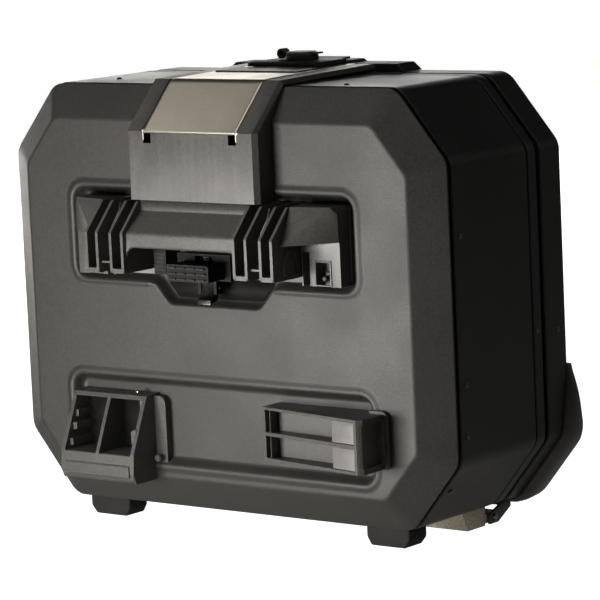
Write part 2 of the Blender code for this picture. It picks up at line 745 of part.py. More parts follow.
def right_socket():
    """A block whose front leans out to one end, with two flat pockets."""
    outline = [
        (RIGHT_LOW_X, SOCKET_BACK_Y),
        (0.1680, SOCKET_BACK_Y),
        (0.1680, PANEL_FACE_Y - GAP),
        (RIGHT_END_X, PANEL_FACE_Y - GAP),
        (RIGHT_END_X, -0.0600),
        (RIGHT_END_X - 0.0040, -0.0640),
        (RIGHT_LOW_X, -0.0415),
    ]
    socket = prism("socket_right", outline, "Z", RIGHT_BOTTOM_Z, RIGHT_TOP_Z, "satin")
    rows = ((-0.1080, -0.0882), (-0.1310, -0.1112))
    for index, (low_z, high_z) in enumerate(rows):
        pocket_points = []
        for z in (low_z, high_z):
            pocket_points.append((RIGHT_LOW_X + 0.0030, -0.0800, z))
            pocket_points.append((RIGHT_END_X - 0.0080, -0.0800, z))
            pocket_points.append((RIGHT_LOW_X + 0.0030, -0.0300, z))
            pocket_points.append((RIGHT_END_X - 0.0080, -0.0420, z))
        cut(socket, hull("right_pocket_%d" % index, pocket_points))
        block = []
        for z in (low_z + GAP, high_z - GAP):
            block.append((RIGHT_END_X - 0.0360, -0.0395, z))
            block.append((RIGHT_END_X - 0.0080 - GAP, -0.0420 - GAP, z))
            block.append((RIGHT_END_X - 0.0360, -0.0572, z))
            block.append((RIGHT_END_X - 0.0080 - GAP, -0.0625, z))
        hull("socket_pad_%s" % ("upper", "lower")[index], block, "grey")
        cylinder(
            "pad_screw_%s" % ("upper", "lower")[index],
            (RIGHT_END_X - 0.0420, -0.0420, (low_z + high_z) / 2),
            "Y",
            0.0024,
            0.0060,
            "steel",
            sides=12,
        )
    channel_low = (RIGHT_END_X - 0.0030, -0.0560, RIGHT_BOTTOM_Z + 0.005)
    channel_high = (RIGHT_END_X + 0.0100, -0.0330, RIGHT_TOP_Z - 0.005)
    cut(socket, box("end_channel", channel_low, channel_high))


def fasteners():
    """Rivets through the band, and screws and a plate that back the housing."""
    sites = (
        ("rivet_side_upper", 0.0090, 0.0655),
        ("rivet_side_middle", 0.0095, -0.0630),
        ("rivet_side_lower", 0.0090, -0.1080),
    )
    for name, y, z in sites:
        for word, side in SIDES:
            centre = (side * (HALF_LENGTH + GAP + 0.0006), y, z)
            cylinder(name + "_" + word, centre, "X", 0.0026, 0.0012, "steel", sides=12)
    box("backing_plate", (-0.1200, -0.0121, 0.0300), (0.1200, -0.0101, 0.0900), "steel")
    for word, side in SIDES:
        place = (side * 0.0900, -0.0083, 0.0600)
        cylinder("backing_screw_" + word, place, "Y", 0.0045, 0.0030, "steel", sides=12)


inner_panel()
rings()
corner_guards()
feet()
hinges()
bridge()
strap()
latch()
mount_housing()
claws()
grip_and_release()
release_spring()
left_socket()
right_socket()
fasteners()
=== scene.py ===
"""The looks of a hard motorcycle side case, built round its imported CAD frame."""

import json
import math

import bmesh
import bpy
from mathutils import Matrix, Vector

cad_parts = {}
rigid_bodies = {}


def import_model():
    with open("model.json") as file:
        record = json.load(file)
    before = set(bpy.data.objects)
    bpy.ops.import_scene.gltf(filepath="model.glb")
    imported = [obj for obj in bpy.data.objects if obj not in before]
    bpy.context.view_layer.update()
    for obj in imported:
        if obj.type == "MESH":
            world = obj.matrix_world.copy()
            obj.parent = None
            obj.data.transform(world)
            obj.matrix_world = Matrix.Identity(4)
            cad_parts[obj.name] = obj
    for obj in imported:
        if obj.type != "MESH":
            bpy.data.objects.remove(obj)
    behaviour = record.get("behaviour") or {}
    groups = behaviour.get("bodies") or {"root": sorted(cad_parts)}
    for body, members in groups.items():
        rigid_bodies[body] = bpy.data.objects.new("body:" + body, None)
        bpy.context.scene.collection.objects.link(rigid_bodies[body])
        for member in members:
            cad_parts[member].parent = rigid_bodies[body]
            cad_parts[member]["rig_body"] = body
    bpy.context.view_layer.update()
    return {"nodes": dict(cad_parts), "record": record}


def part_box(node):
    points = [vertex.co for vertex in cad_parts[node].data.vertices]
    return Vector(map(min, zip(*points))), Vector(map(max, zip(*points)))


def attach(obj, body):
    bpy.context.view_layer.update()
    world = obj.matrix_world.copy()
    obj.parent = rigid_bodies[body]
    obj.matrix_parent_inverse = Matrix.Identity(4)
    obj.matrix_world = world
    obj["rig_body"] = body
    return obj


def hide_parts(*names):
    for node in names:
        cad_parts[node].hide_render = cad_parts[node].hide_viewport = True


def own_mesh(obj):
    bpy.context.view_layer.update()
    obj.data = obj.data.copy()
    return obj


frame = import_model()

# The studio. A long lens stands off the case's right end, a little above its top.
# A small low strip rakes the panel, a high box catches the strap, and wide boxes glow
# behind, so the right side falls away dark. The plain pale floor lies low enough for
# the lid to swing down past the feet, as it does when the case hangs on its carrier.
scene = bpy.context.scene
scene.view_settings.view_transform = "Standard"

camera_data = bpy.data.cameras.new("camera")
camera_data.lens = 205.4
camera_data.sensor_width = 36.0
camera = bpy.data.objects.new("camera", camera_data)
camera.location = (1.9200, -2.4022, 0.6346)
sight = Vector((-0.61296, 0.77766, -0.13978))
roll = Matrix.Rotation(math.radians(-2.62), 3, "Z")
camera.rotation_euler = (sight.to_track_quat("-Z", "Y").to_matrix() @ roll).to_euler()
scene.collection.objects.link(camera)
scene.camera = camera


def soft_box(name, place, target, width, height, radiance):
    """A rectangular soft box that faces a point, as bright everywhere as radiance says."""
    data = bpy.data.lights.new(name, "AREA")
    data.shape = "RECTANGLE"
    data.size = width
    data.size_y = height
    data.energy = radiance * math.pi * width * height
    data.color = (1.0, 0.972, 0.930)
    light = bpy.data.objects.new(name, data)
    light.location = place
    toward = Vector(target) - Vector(place)
    light.rotation_euler = toward.to_track_quat("-Z", "Y").to_euler()
    light.visible_camera = False
    scene.collection.objects.link(light)


soft_box("backdrop_glow", (-2.6, 3.0, 0.80), (0.0, 0.0, 0.25), 3.4, 1.5, 3.6)
soft_box("left_strip", (-2.2, 0.8, 0.25), (-0.2, 0.0, 0.20), 1.0, 0.4, 9.0)
soft_box("front_strip", (-0.18, -0.88, 0.13), (0.1, 0.0, 0.20), 0.4, 0.25, 36.0)
soft_box("high_left_box", (-1.8, -0.9, 2.3), (0.0, 0.0, 0.35), 0.9, 0.9, 1.9)
soft_box("overhead_strip", (0.35, -0.50, 1.60), (0.0, -0.05, 0.30), 0.5, 0.3, 4.5)
soft_box("right_fill", (2.6, 1.2, 1.6), (0.2, 0.0, 0.20), 1.2, 1.2, 1.4)

world = bpy.data.worlds.new("studio_air")
scene.world = world
world.use_nodes = True
air = world.node_tree.nodes["Background"]
air.inputs["Color"].default_value = (0.012, 0.012, 0.012, 1.0)
seen = world.node_tree.nodes.new("ShaderNodeBackground")
seen.inputs["Color"].default_value = (1.0, 1.0, 1.0, 1.0)
choice = world.node_tree.nodes.new("ShaderNodeMixShader")
rays = world.node_tree.nodes.new("ShaderNodeLightPath")
world.node_tree.links.new(rays.outputs["Is Camera Ray"], choice.inputs[0])
world.node_tree.links.new(air.outputs[0], choice.inputs[1])
world.node_tree.links.new(seen.outputs[0], choice.inputs[2])
world.node_tree.links.new(choice.outputs[0], world.node_tree.nodes["World Output"].inputs["Surface"])

LID_SWING_ROOM = 0.086
floor_mesh = bpy.data.meshes.new("floor")
bm = bmesh.new()
bmesh.ops.create_circle(bm, cap_ends=True, segments=64, radius=80.0)
bmesh.ops.translate(bm, verts=bm.verts, vec=(0.0, 0.0, -LID_SWING_ROOM))
bm.to_mesh(floor_mesh)
bm.free()
floor = bpy.data.objects.new("floor", floor_mesh)
scene.collection.objects.link(floor)
floor_paint = bpy.data.materials.new("pale_floor")
floor_paint.use_nodes = True
floor_shader = floor_paint.node_tree.nodes["Principled BSDF"]
floor_shader.inputs["Base Color"].default_value = (0.62, 0.62, 0.61, 1.0)
floor_shader.inputs["Roughness"].default_value = 0.9
floor_shader.inputs["Specular IOR Level"].default_value = 0.1
floor_glow = floor_paint.node_tree.nodes.new("ShaderNodeLightPath")
floor_shader.inputs["Emission Color"].default_value = (1.0, 1.0, 0.99, 1.0)
floor_paint.node_tree.links.new(
    floor_glow.outputs["Is Camera Ray"], floor_shader.inputs["Emission Strength"]
)
floor_mesh.materials.append(floor_paint)

# The inner panel: the bike-facing half of the shell, injection moulded in black
# plastic with a fine spark-eroded grain. Two fields are sunk into it for the
# mounting hardware, each inside a soft raised lip.
band_low, band_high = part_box("side_band")
SEAM = Vector((0.0, band_low.y, (band_low.z + band_high.z) / 2))
HALF_LENGTH = band_high.x
HALF_HEIGHT = (band_high.z - band_low.z) / 2
CHAMFER_X = 0.051
CHAMFER_Z = 0.062
ARC_STEPS = 8
MERGE = 0.00002
STEP_SIDE = HALF_HEIGHT - CHAMFER_Z
STEP_TOP = HALF_LENGTH - CHAMFER_X
CASE = [
    (HALF_LENGTH, -STEP_SIDE),
    (HALF_LENGTH, STEP_SIDE),
    (STEP_TOP, HALF_HEIGHT),
    (-STEP_TOP, HALF_HEIGHT),
    (-HALF_LENGTH, STEP_SIDE),
    (-HALF_LENGTH, -STEP_SIDE),
    (-STEP_TOP, -HALF_HEIGHT),
    (STEP_TOP, -HALF_HEIGHT),
]
CASE_RADIUS = 0.020
CASE_FOLLOW = 0.3


def arc_between(centre, start, end, steps):
    """Points on the short arc round a centre, from start to end."""
    first = start - centre
    last = end - centre
    turn = math.atan2(first.x * last.y - first.y * last.x, first.dot(last))
    points = []
    for step in range(steps + 1):
        points.append(centre + Matrix.Rotation(turn * step / steps, 2) @ first)
    return points


def outline(corners, inset, radius, follow=1.0, steps=ARC_STEPS):
    """An anticlockwise outline drawn in by an inset, its corners turned into arcs."""
    lines = []
    for a, b in zip(corners, corners[1:] + corners[:1]):
        along = (Vector(b) - Vector(a)).normalized()
        lines.append((Vector(a) + Vector((-along.y, along.x)) * inset, along))
    points = []
    for index, (ahead_from, ahead) in enumerate(lines):
        back_from, back = lines[index - 1]
        cross = back.x * ahead.y - back.y * ahead.x
        gap = ahead_from - back_from
        corner = back_from + back * (gap.x * ahead.y - gap.y * ahead.x) / cross
        bend = radius - follow * inset if cross > 0 else radius + follow * inset
        bend = max(bend, 0.0008)
        half = (-back).angle(ahead) / 2
        reach = bend / math.tan(half)
        centre = corner + (ahead - back).normalized() * bend / math.sin(half)
        points += arc_between(centre, corner - back * reach, corner + ahead * reach, steps)
    return points


def upright(points, y):
    """A flat outline of x and z stood up at a depth y."""
    return [(p.x, y, p.y) for p in points]


def eased(points, radii, steps=5, hold=0.0007):
    """Round the bends of an open path, with a point just off each arc to keep flats flat."""
    points = [Vector(p) for p in points]
    path = [points[0]]
    for before, here, after, radius in zip(points, points[1:], points[2:], radii):
        back = (before - here).normalized()
        ahead = (after - here).normalized()
        half = back.angle(ahead) / 2
        reach = radius / math.tan(half)
        centre = here + (back + ahead).normalized() * radius / math.sin(half)
        path.append(here + back * (reach + hold))
        path += arc_between(centre, here + back * reach, here + ahead * reach, steps)
        path.append(here + ahead * (reach + hold))
    path.append(points[-1])
    return path


def skin(bm, rings, closed=False):
    """Bridge each ring of points to the next, and return the rings' edges.

    Rings that share a plane would bridge twisted, so all are bridged a step apart
    along Y and moved to their places afterwards.
    """
    loops = []
    places = []
    for index, ring in enumerate(rings):
        verts = [bm.verts.new((x, index * 0.5, z)) for x, _, z in ring]
        places += list(zip(verts, ring))
        loops.append([bm.edges.new(pair) for pair in zip(verts, verts[1:] + verts[:1])])
    pairs = list(zip(loops, loops[1:]))
    if closed:
        pairs.append((loops[-1], loops[0]))
    for near, far in pairs:
        bmesh.ops.bridge_loops(bm, edges=near + far)
    for vert, place in places:
        vert.co = place
    return loops


def case_rings(path):
    """The case's outline carried along a path of insets and depths."""
    return [upright(outline(CASE, p.x, CASE_RADIUS, CASE_FOLLOW), p.y) for p in path]


def home_of(node):
    """The body that a node moves with and the material slot it is listed under."""
    for part in frame["record"]["subparts"]:
        if part["node"] == node:
            return frame["nodes"][node]["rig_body"], part["material_slot"]


def finish_piece(bm, name, material, node, outward=None):
    """Make a bmesh, drawn from the seam, into a piece on its node's body."""
    bmesh.ops.remove_doubles(bm, verts=bm.verts, dist=MERGE)
    bmesh.ops.recalc_face_normals(bm, faces=bm.faces)
    bm.normal_update()
    if outward is not None:
        facing = sum(f.normal.dot(Vector(outward)) * f.calc_area() for f in bm.faces)
        if facing < 0:
            bmesh.ops.reverse_faces(bm, faces=bm.faces)
    bmesh.ops.translate(bm, vec=SEAM, verts=bm.verts)
    mesh = bpy.data.meshes.new(name)
    bm.to_mesh(mesh)
    bm.free()
    mesh.shade_smooth()
    mesh.materials.append(material)
    piece = bpy.data.objects.new(name, mesh)
    scene.collection.objects.link(piece)
    body, slot = home_of(node)
    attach(piece, body)
    return piece


def round_over(piece, width, segments=3, angle=30.0):
    """Round a piece's sharp edges over and keep its flats flat."""
    bevel = piece.modifiers.new("edges", "BEVEL")
    bevel.width = width
    bevel.segments = segments
    bevel.limit_method = "ANGLE"
    bevel.angle_limit = math.radians(angle)
    bevel.harden_normals = True
    return piece


def thicken(piece, wall):
    """Give an open moulding its wall, on the side away from its outer face."""
    solid = piece.modifiers.new("wall", "SOLIDIFY")
    solid.thickness = wall
    solid.offset = -1.0
    return piece


def new_group(name, inputs, outputs):
    """A shader node group with its sockets, its input node and its output node."""
    group = bpy.data.node_groups.new(name, "ShaderNodeTree")
    for label, kind, value in inputs:
        socket = group.interface.new_socket(label, in_out="INPUT", socket_type=kind)
        if value is not None:
            socket.default_value = value
    for label in outputs:
        group.interface.new_socket(label, in_out="OUTPUT", socket_type="NodeSocketFloat")
    return group, group.nodes.new("NodeGroupInput"), group.nodes.new("NodeGroupOutput")


def noise(tree, vector, scale, detail):
    """A noise node on a vector, as its factor socket."""
    node = tree.nodes.new("ShaderNodeTexNoise")
    node.inputs["Scale"].default_value = scale
    node.inputs["Detail"].default_value = detail
    tree.links.new(vector, node.inputs["Vector"])
    return node.outputs["Fac"]


def sums(tree, operation, first, second):
    """A math node on two sockets or numbers, as its output socket."""
    node = tree.nodes.new("ShaderNodeMath")
    node.operation = operation
    for index, value in enumerate((first, second)):
        if isinstance(value, (int, float)):
            node.inputs[index].default_value = value
        else:
            tree.links.new(value, node.inputs[index])
    return node.outputs[0]


def ramp(tree, value, low, high, floor_value=0.0, top_value=1.0):
    """A smooth map of a value from one range to another."""
    node = tree.nodes.new("ShaderNodeMapRange")
    node.interpolation_type = "SMOOTHSTEP"
    node.inputs["From Min"].default_value = low
    node.inputs["From Max"].default_value = high
    node.inputs["To Min"].default_value = floor_value
    node.inputs["To Max"].default_value = top_value
    tree.links.new(value, node.inputs["Value"])
    return node.outputs["Result"]


def blend_colours(tree, factor, under, over):
    """A mix of two colours, each a socket or a tuple, by a factor socket."""
    node = tree.nodes.new("ShaderNodeMix")
    node.data_type = "RGBA"
    tree.links.new(factor, node.inputs[0])
    for index, colour in ((6, under), (7, over)):
        if isinstance(colour, tuple):
            node.inputs[index].default_value = (*colour, 1.0)
        else:
            tree.links.new(colour, node.inputs[index])
    return node.outputs[2]


GRAIN, grain_in, grain_out = new_group(
    "mould_grain",
    [("Vector", "NodeSocketVector", None), ("Fineness", "NodeSocketFloat", 1600.0)],
    ["Height", "Mottle", "Cloud"],
)
stretched = GRAIN.nodes.new("ShaderNodeVectorMath")
stretched.operation = "SCALE"
GRAIN.links.new(grain_in.outputs["Vector"], stretched.inputs[0])
GRAIN.links.new(grain_in.outputs["Fineness"], stretched.inputs["Scale"])
fine = noise(GRAIN, stretched.outputs[0], 1.0, 2.0)
GRAIN.links.new(fine, grain_out.inputs["Height"])
GRAIN.links.new(noise(GRAIN, grain_in.outputs["Vector"], 420.0, 2.0), grain_out.inputs["Mottle"])
GRAIN.links.new(noise(GRAIN, grain_in.outputs["Vector"], 14.0, 3.0), grain_out.inputs["Cloud"])

# Edge mask: where a surface rounds over, its colour is blended toward a lighter tone. This is partly rubbed
# wear and partly painted highlight, standing for the light lines that rounded edges catch.
EDGE, edge_in, edge_out = new_group(
    "edge_wear_and_highlight",
    [("Vector", "NodeSocketVector", None), ("Reach", "NodeSocketFloat", 0.0012)],
    ["Mask"],
)
soft_normal = EDGE.nodes.new("ShaderNodeBevel")
soft_normal.samples = 4
EDGE.links.new(edge_in.outputs["Reach"], soft_normal.inputs["Radius"])
true_normal = EDGE.nodes.new("ShaderNodeNewGeometry")
agreement = EDGE.nodes.new("ShaderNodeVectorMath")
agreement.operation = "DOT_PRODUCT"
EDGE.links.new(soft_normal.outputs["Normal"], agreement.inputs[0])
EDGE.links.new(true_normal.outputs["Normal"], agreement.inputs[1])
edge_amount = ramp(EDGE, sums(EDGE, "SUBTRACT", 1.0, agreement.outputs["Value"]), 0.01, 0.14)
edge_patch = ramp(EDGE, noise(EDGE, edge_in.outputs["Vector"], 160.0, 4.0), 0.35, 0.65, 0.35, 1.0)
EDGE.links.new(sums(EDGE, "MULTIPLY", edge_amount, edge_patch), edge_out.inputs["Mask"])

DUST, dust_in, dust_out = new_group(
    "settled_dust",
    [("Vector", "NodeSocketVector", None), ("Amount", "NodeSocketFloat", 0.3)],
    ["Mask"],
)
dust_normal = DUST.nodes.new("ShaderNodeNewGeometry")
dust_axes = DUST.nodes.new("ShaderNodeSeparateXYZ")
DUST.links.new(dust_normal.outputs["Normal"], dust_axes.inputs[0])
lying = ramp(DUST, dust_axes.outputs["Z"], -0.2, 1.0, 0.15, 1.0)
dust_grain = ramp(DUST, noise(DUST, dust_in.outputs["Vector"], 900.0, 3.0), 0.45, 0.75)
dust_cloud = ramp(DUST, noise(DUST, dust_in.outputs["Vector"], 22.0, 4.0), 0.40, 0.75, 0.2, 1.0)
dust_mask = sums(DUST, "MULTIPLY", sums(DUST, "MULTIPLY", dust_grain, dust_cloud), lying)
DUST.links.new(
    sums(DUST, "MULTIPLY", dust_mask, dust_in.outputs["Amount"]), dust_out.inputs["Mask"]
)


def use_group(tree, group, vector, **values):
    """Place a group in a material on a coordinate, with this material's own values."""
    node = tree.nodes.new("ShaderNodeGroup")
    node.node_tree = group
    tree.links.new(vector, node.inputs["Vector"])
    for label, value in values.items():
        node.inputs[label].default_value = value
    return node.outputs


def surface(
    name, colour, wear_and_highlight_tone, rough, fineness, depth, dust, shine=0.5, streaks=0.0, mottle=0.2, metal=0.0
):
    """A moulded, cast or blasted surface: grain, flow streaks, dust, and edges lightened partly by rubbed
    wear and partly as painted highlight.
    """
    material = bpy.data.materials.new(name)
    material.use_nodes = True
    tree = material.node_tree
    shader = tree.nodes["Principled BSDF"]
    shader.inputs["Specular IOR Level"].default_value = shine
    shader.inputs["Metallic"].default_value = metal
    place = tree.nodes.new("ShaderNodeTexCoord").outputs["Object"]
    grain = use_group(tree, GRAIN, place, Fineness=fineness)
    edge = use_group(tree, EDGE, place)
    film = use_group(tree, DUST, place, Amount=dust)
    mottled = blend_colours(
        tree,
        ramp(tree, grain["Mottle"], 0.30, 0.70),
        tuple(c * (1.0 - mottle) for c in colour),
        tuple(c * (1.0 + mottle) for c in colour),
    )
    # Painted highlight and wear: the edge mask blends the colour toward the lighter edge tone.
    wear_and_highlight_mix = blend_colours(tree, sums(tree, "MULTIPLY", edge["Mask"], 0.55), mottled, wear_and_highlight_tone)
    dusty = blend_colours(tree, film["Mask"], wear_and_highlight_mix, (0.30, 0.28, 0.25))
    if streaks:
        flow = tree.nodes.new("ShaderNodeMapping")
        flow.inputs["Scale"].default_value = (260.0, 30.0, 9.0)
        tree.links.new(place, flow.inputs["Vector"])
        drawn = ramp(tree, noise(tree, flow.outputs[0], 1.0, 3.0), 0.35, 0.75, 0.0, streaks)
        dusty = blend_colours(tree, drawn, dusty, wear_and_highlight_tone)
    tree.links.new(dusty, shader.inputs["Base Color"])
    clouded = ramp(tree, grain["Cloud"], 0.30, 0.70, rough - 0.04, rough + 0.05)
    speckled = sums(tree, "ADD", clouded, sums(tree, "MULTIPLY", grain["Mottle"], mottle * 0.3))
    smoothed = sums(tree, "SUBTRACT", speckled, sums(tree, "MULTIPLY", edge["Mask"], 0.08))
    tree.links.new(
        sums(tree, "ADD", smoothed, sums(tree, "MULTIPLY", film["Mask"], 0.3)),
        shader.inputs["Roughness"],
    )
    bump = tree.nodes.new("ShaderNodeBump")
    bump.inputs["Strength"].default_value = 0.8
    bump.inputs["Distance"].default_value = depth
    tree.links.new(grain["Height"], bump.inputs["Height"])
    tree.links.new(bump.outputs["Normal"], shader.inputs["Normal"])
    return material


panel_plastic = surface(
    "grained_panel_plastic", (0.022, 0.0208, 0.0192), (0.085, 0.080, 0.074), 0.46, 1500.0, 0.00030, 0.16
)


def oblong(from_x, from_z, to_x, to_z):
    """A rectangle's four corners in order, given one of them and the opposite one."""
    return [(from_x, from_z), (to_x, from_z), (to_x, to_z), (from_x, to_z)]


FACE_Y = -0.0265
PANEL_WALL = 0.0025
UPPER_FLOOR_Y = -0.0155
LOWER_FLOOR_Y = -0.0175
UPPER_FIELD = [
    (-0.1600, 0.0165),
    (-0.0700, 0.0165),
    (-0.0520, -0.0040),
    (0.0520, -0.0040),
    (0.0700, 0.0165),
    (0.1600, 0.0165),
    (0.1600, 0.1010),
    (-0.1600, 0.1010),
]
LOWER_FIELD = oblong(-0.1720, -0.1500, 0.1720, -0.0720)
FIELD_RADIUS = 0.0130
LIP_HEIGHT = 0.0018
LIP_FADE_LOW_Z = -0.0200
LIP_FADE_Z = 0.0135


def sunk_field(bm, corners, radius, floor_y):
    """A field sunk inside a soft raised lip, as its loops of edges from the lip inward.

    The lip fades out where the bridge cover crosses it.
    """
    depth = floor_y - FACE_Y
    lip = [
        (-0.0088, 0.0),
        (-0.0080, 0.0),
        (-0.0062, -LIP_HEIGHT * 0.25),
        (-0.0044, -LIP_HEIGHT * 0.72),
        (-0.0026, -LIP_HEIGHT),
        (-0.0008, -LIP_HEIGHT * 0.92),
        (0.0006, -LIP_HEIGHT * 0.30),
        (0.0018, depth * 0.18),
        (0.0032, depth * 0.50),
        (0.0044, depth * 0.76),
        (0.0058, depth * 0.93),
        (0.0074, depth),
        (0.0084, depth),
    ]
    rings = [upright(outline(corners, d, radius), FACE_Y + rise) for d, rise in lip]
    loops = skin(bm, rings)
    for vert in {vert for loop in loops for edge in loop for vert in edge.verts}:
        if vert.co.y < FACE_Y and LIP_FADE_LOW_Z < vert.co.z < LIP_FADE_Z:
            vert.co.y = FACE_Y
    return loops


bm = bmesh.new()
bevel_path = eased(
    [
        (0.0031, 0.0060),
        (0.0031, -0.0036),
        (0.0010, -0.0040),
        (0.0004, -0.0058),
        (0.0300, FACE_Y),
        (0.0334, FACE_Y),
    ],
    [0.0003, 0.0006, 0.0008, 0.0070],
    steps=6,
    hold=0.0002,
)
face_edges = list(skin(bm, case_rings(bevel_path))[-1])
upper_loops = sunk_field(bm, UPPER_FIELD, FIELD_RADIUS, UPPER_FLOOR_Y)
lower_loops = sunk_field(bm, LOWER_FIELD, FIELD_RADIUS, LOWER_FLOOR_Y)
bmesh.ops.edgeloop_fill(bm, edges=lower_loops[-1])
bmesh.ops.edgeloop_fill(bm, edges=upper_loops[-1])
face_edges += upper_loops[0] + lower_loops[0]
bmesh.ops.triangle_fill(bm, edges=face_edges, use_beauty=True, normal=(0.0, -1.0, 0.0))
panel = finish_piece(bm, "inner_panel_moulding", panel_plastic, "inner_panel", outward=(0, -1, 0))
thicken(panel, PANEL_WALL)
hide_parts("inner_panel")

# The side band: one strip of smooth black plastic wrapped round the case between
# the two halves, closed at the front by a shadow gap and at the rear by the trim
# ring, which is clipped on. The rubber seal sits in the trim ring's groove.
# The band's lighter edge tone is set high, partly as painted highlight along its rounded edges and partly as
# rubbed wear.
band_plastic = surface(
    "smooth_band_plastic", (0.014, 0.014, 0.014), (0.130, 0.126, 0.122), 0.40, 1900.0, 0.00012, 0.10
)
rubber = surface(
    "black_rubber", (0.010, 0.010, 0.010), (0.020, 0.020, 0.020), 0.72, 700.0, 0.00015, 0.10, 0.3
)


def hoop(name, material, node, front_y, rear_y, wall, front_round, rear_round):
    """A ring of one wall round the case, its two outer edges rounded over."""
    bm = bmesh.new()
    path = eased(
        oblong(wall, front_y, 0.0, rear_y),
        [front_round, rear_round],
        steps=4,
        hold=0.0003,
    )
    skin(bm, case_rings(path), closed=True)
    piece = finish_piece(bm, name, material, node)
    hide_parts(node)
    return piece


hoop("side_band_strip", band_plastic, "side_band", 0.0000, 0.1128, 0.0026, 0.0012, 0.0012)
hoop("trim_ring_moulding", band_plastic, "trim_ring", 0.1149, 0.1280, 0.0080, 0.0014, 0.0022)

SEAL_INSET = 0.0042
bm = bmesh.new()
seal_path = eased(
    oblong(0.0085, 0.1284, SEAL_INSET, 0.1326),
    [0.0012, 0.0012],
    steps=4,
    hold=0.0002,
)
skin(bm, case_rings(seal_path), closed=True)
seal = finish_piece(bm, "lid_seal_profile", rubber, "lid_seal")
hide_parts("lid_seal")

# The lid: the outer half of the shell, the same grained plastic as the panel on
# its bevelled face and smooth on its rim. A separate satin cover panel is clipped
# to the face, ribbed so that it stays stiff.
LID_FRONT_Y = 0.1335
LID_EDGE_Y = 0.1645
LID_FACE_Y = 0.1940
COVER_Y = 0.1998
LID_WALL = 0.0028

bm = bmesh.new()
lid_path = eased(
    [
        (0.0050, LID_FRONT_Y),
        (0.0, LID_FRONT_Y),
        (0.0, LID_EDGE_Y),
        (0.0340, LID_FACE_Y),
        (0.0400, LID_FACE_Y),
    ],
    [0.0016, 0.0040, 0.0080],
    steps=6,
    hold=0.0005,
)
lid_loops = skin(bm, case_rings(lid_path))
bmesh.ops.edgeloop_fill(bm, edges=lid_loops[-1])
lid = finish_piece(bm, "lid_shell_moulding", band_plastic, "lid_shell", outward=(0, 1, 0))
thicken(lid, LID_WALL)
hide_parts("lid_shell")

bm = bmesh.new()
rim_path = [Vector(p) for p in ((0.0084, 0.1350), (0.0034, 0.1350), (0.0034, 0.1490), (0.0084, 0.1490))]
skin(bm, case_rings(rim_path), closed=True)
rim = round_over(finish_piece(bm, "lid_rim_frame", band_plastic, "lid_rim"), 0.0006)
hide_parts("lid_rim")

COVER = oblong(-0.1650, -0.1050, 0.1650, 0.1050)
COVER_RADIUS = 0.020
bm = bmesh.new()
cover_path = eased(
    [(0.0, LID_FACE_Y + 0.0004), (0.0, COVER_Y - 0.0022), (0.0060, COVER_Y), (0.0120, COVER_Y)],
    [0.0012, 0.0040],
    steps=4,
    hold=0.0003,
)
cover_rings = [upright(outline(COVER, p.x, COVER_RADIUS), p.y) for p in cover_path]
cover_loops = skin(bm, cover_rings)
bmesh.ops.edgeloop_fill(bm, edges=cover_loops[0])
cover_edges = list(cover_loops[-1])
for height in (-0.060, -0.020, 0.020, 0.060):
    groove = oblong(-0.135, height - 0.008, 0.135, height + 0.008)
    groove_path = eased(
        [(0.0, COVER_Y), (0.0020, COVER_Y), (0.0040, COVER_Y - 0.0022), (0.0062, COVER_Y - 0.0022)],
        [0.0010, 0.0010],
        steps=3,
        hold=0.0002,
    )
    groove_loops = skin(bm, [upright(outline(groove, p.x, 0.0078), p.y) for p in groove_path])
    bmesh.ops.edgeloop_fill(bm, edges=groove_loops[-1])
    cover_edges += groove_loops[0]
bmesh.ops.triangle_fill(bm, edges=cover_edges, use_beauty=True, normal=(0.0, 1.0, 0.0))
satin_plastic = surface(
    "satin_charcoal_plastic", (0.050, 0.048, 0.045), (0.150, 0.145, 0.138), 0.40, 1300.0, 0.00016, 0.12
)
cover = finish_piece(bm, "lid_cover_panel", satin_plastic, "lid_cover")
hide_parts("lid_cover")

# The corner guards: two thick bumpers of satin plastic, screwed over the lid's
# lower corners, where the case meets the ground when it is laid down.
GUARD_THICK = 0.0082
GUARD_TOP_Z = -0.0680
GUARD_IN_X = 0.1660
GUARD_STEP = 0.0060
GUARD_RISE = 0.24
GUARD_FALL = 0.30
GUARD_WIDEN = 0.40
GUARD_TIP = 0.004
GUARD_TAIL = 0.02
GUARD_SPREAD = 0.0140
GUARD_FRONT_Y = 0.1660
guard_path = eased(
    [
        (HALF_LENGTH, GUARD_TOP_Z),
        (HALF_LENGTH, -STEP_SIDE),
        (STEP_TOP, -HALF_HEIGHT),
        (GUARD_IN_X, -HALF_HEIGHT),
    ],
    [0.0300, 0.0300],
    steps=10,
    hold=0.0100,
)
guard_line = [guard_path[0]]
for near, far in zip(guard_path, guard_path[1:]):
    count = max(1, round((far - near).length / GUARD_STEP))
    guard_line += [near.lerp(far, part / count) for part in range(1, count + 1)]
guard_length = sum((b - a).length for a, b in zip(guard_line, guard_line[1:]))
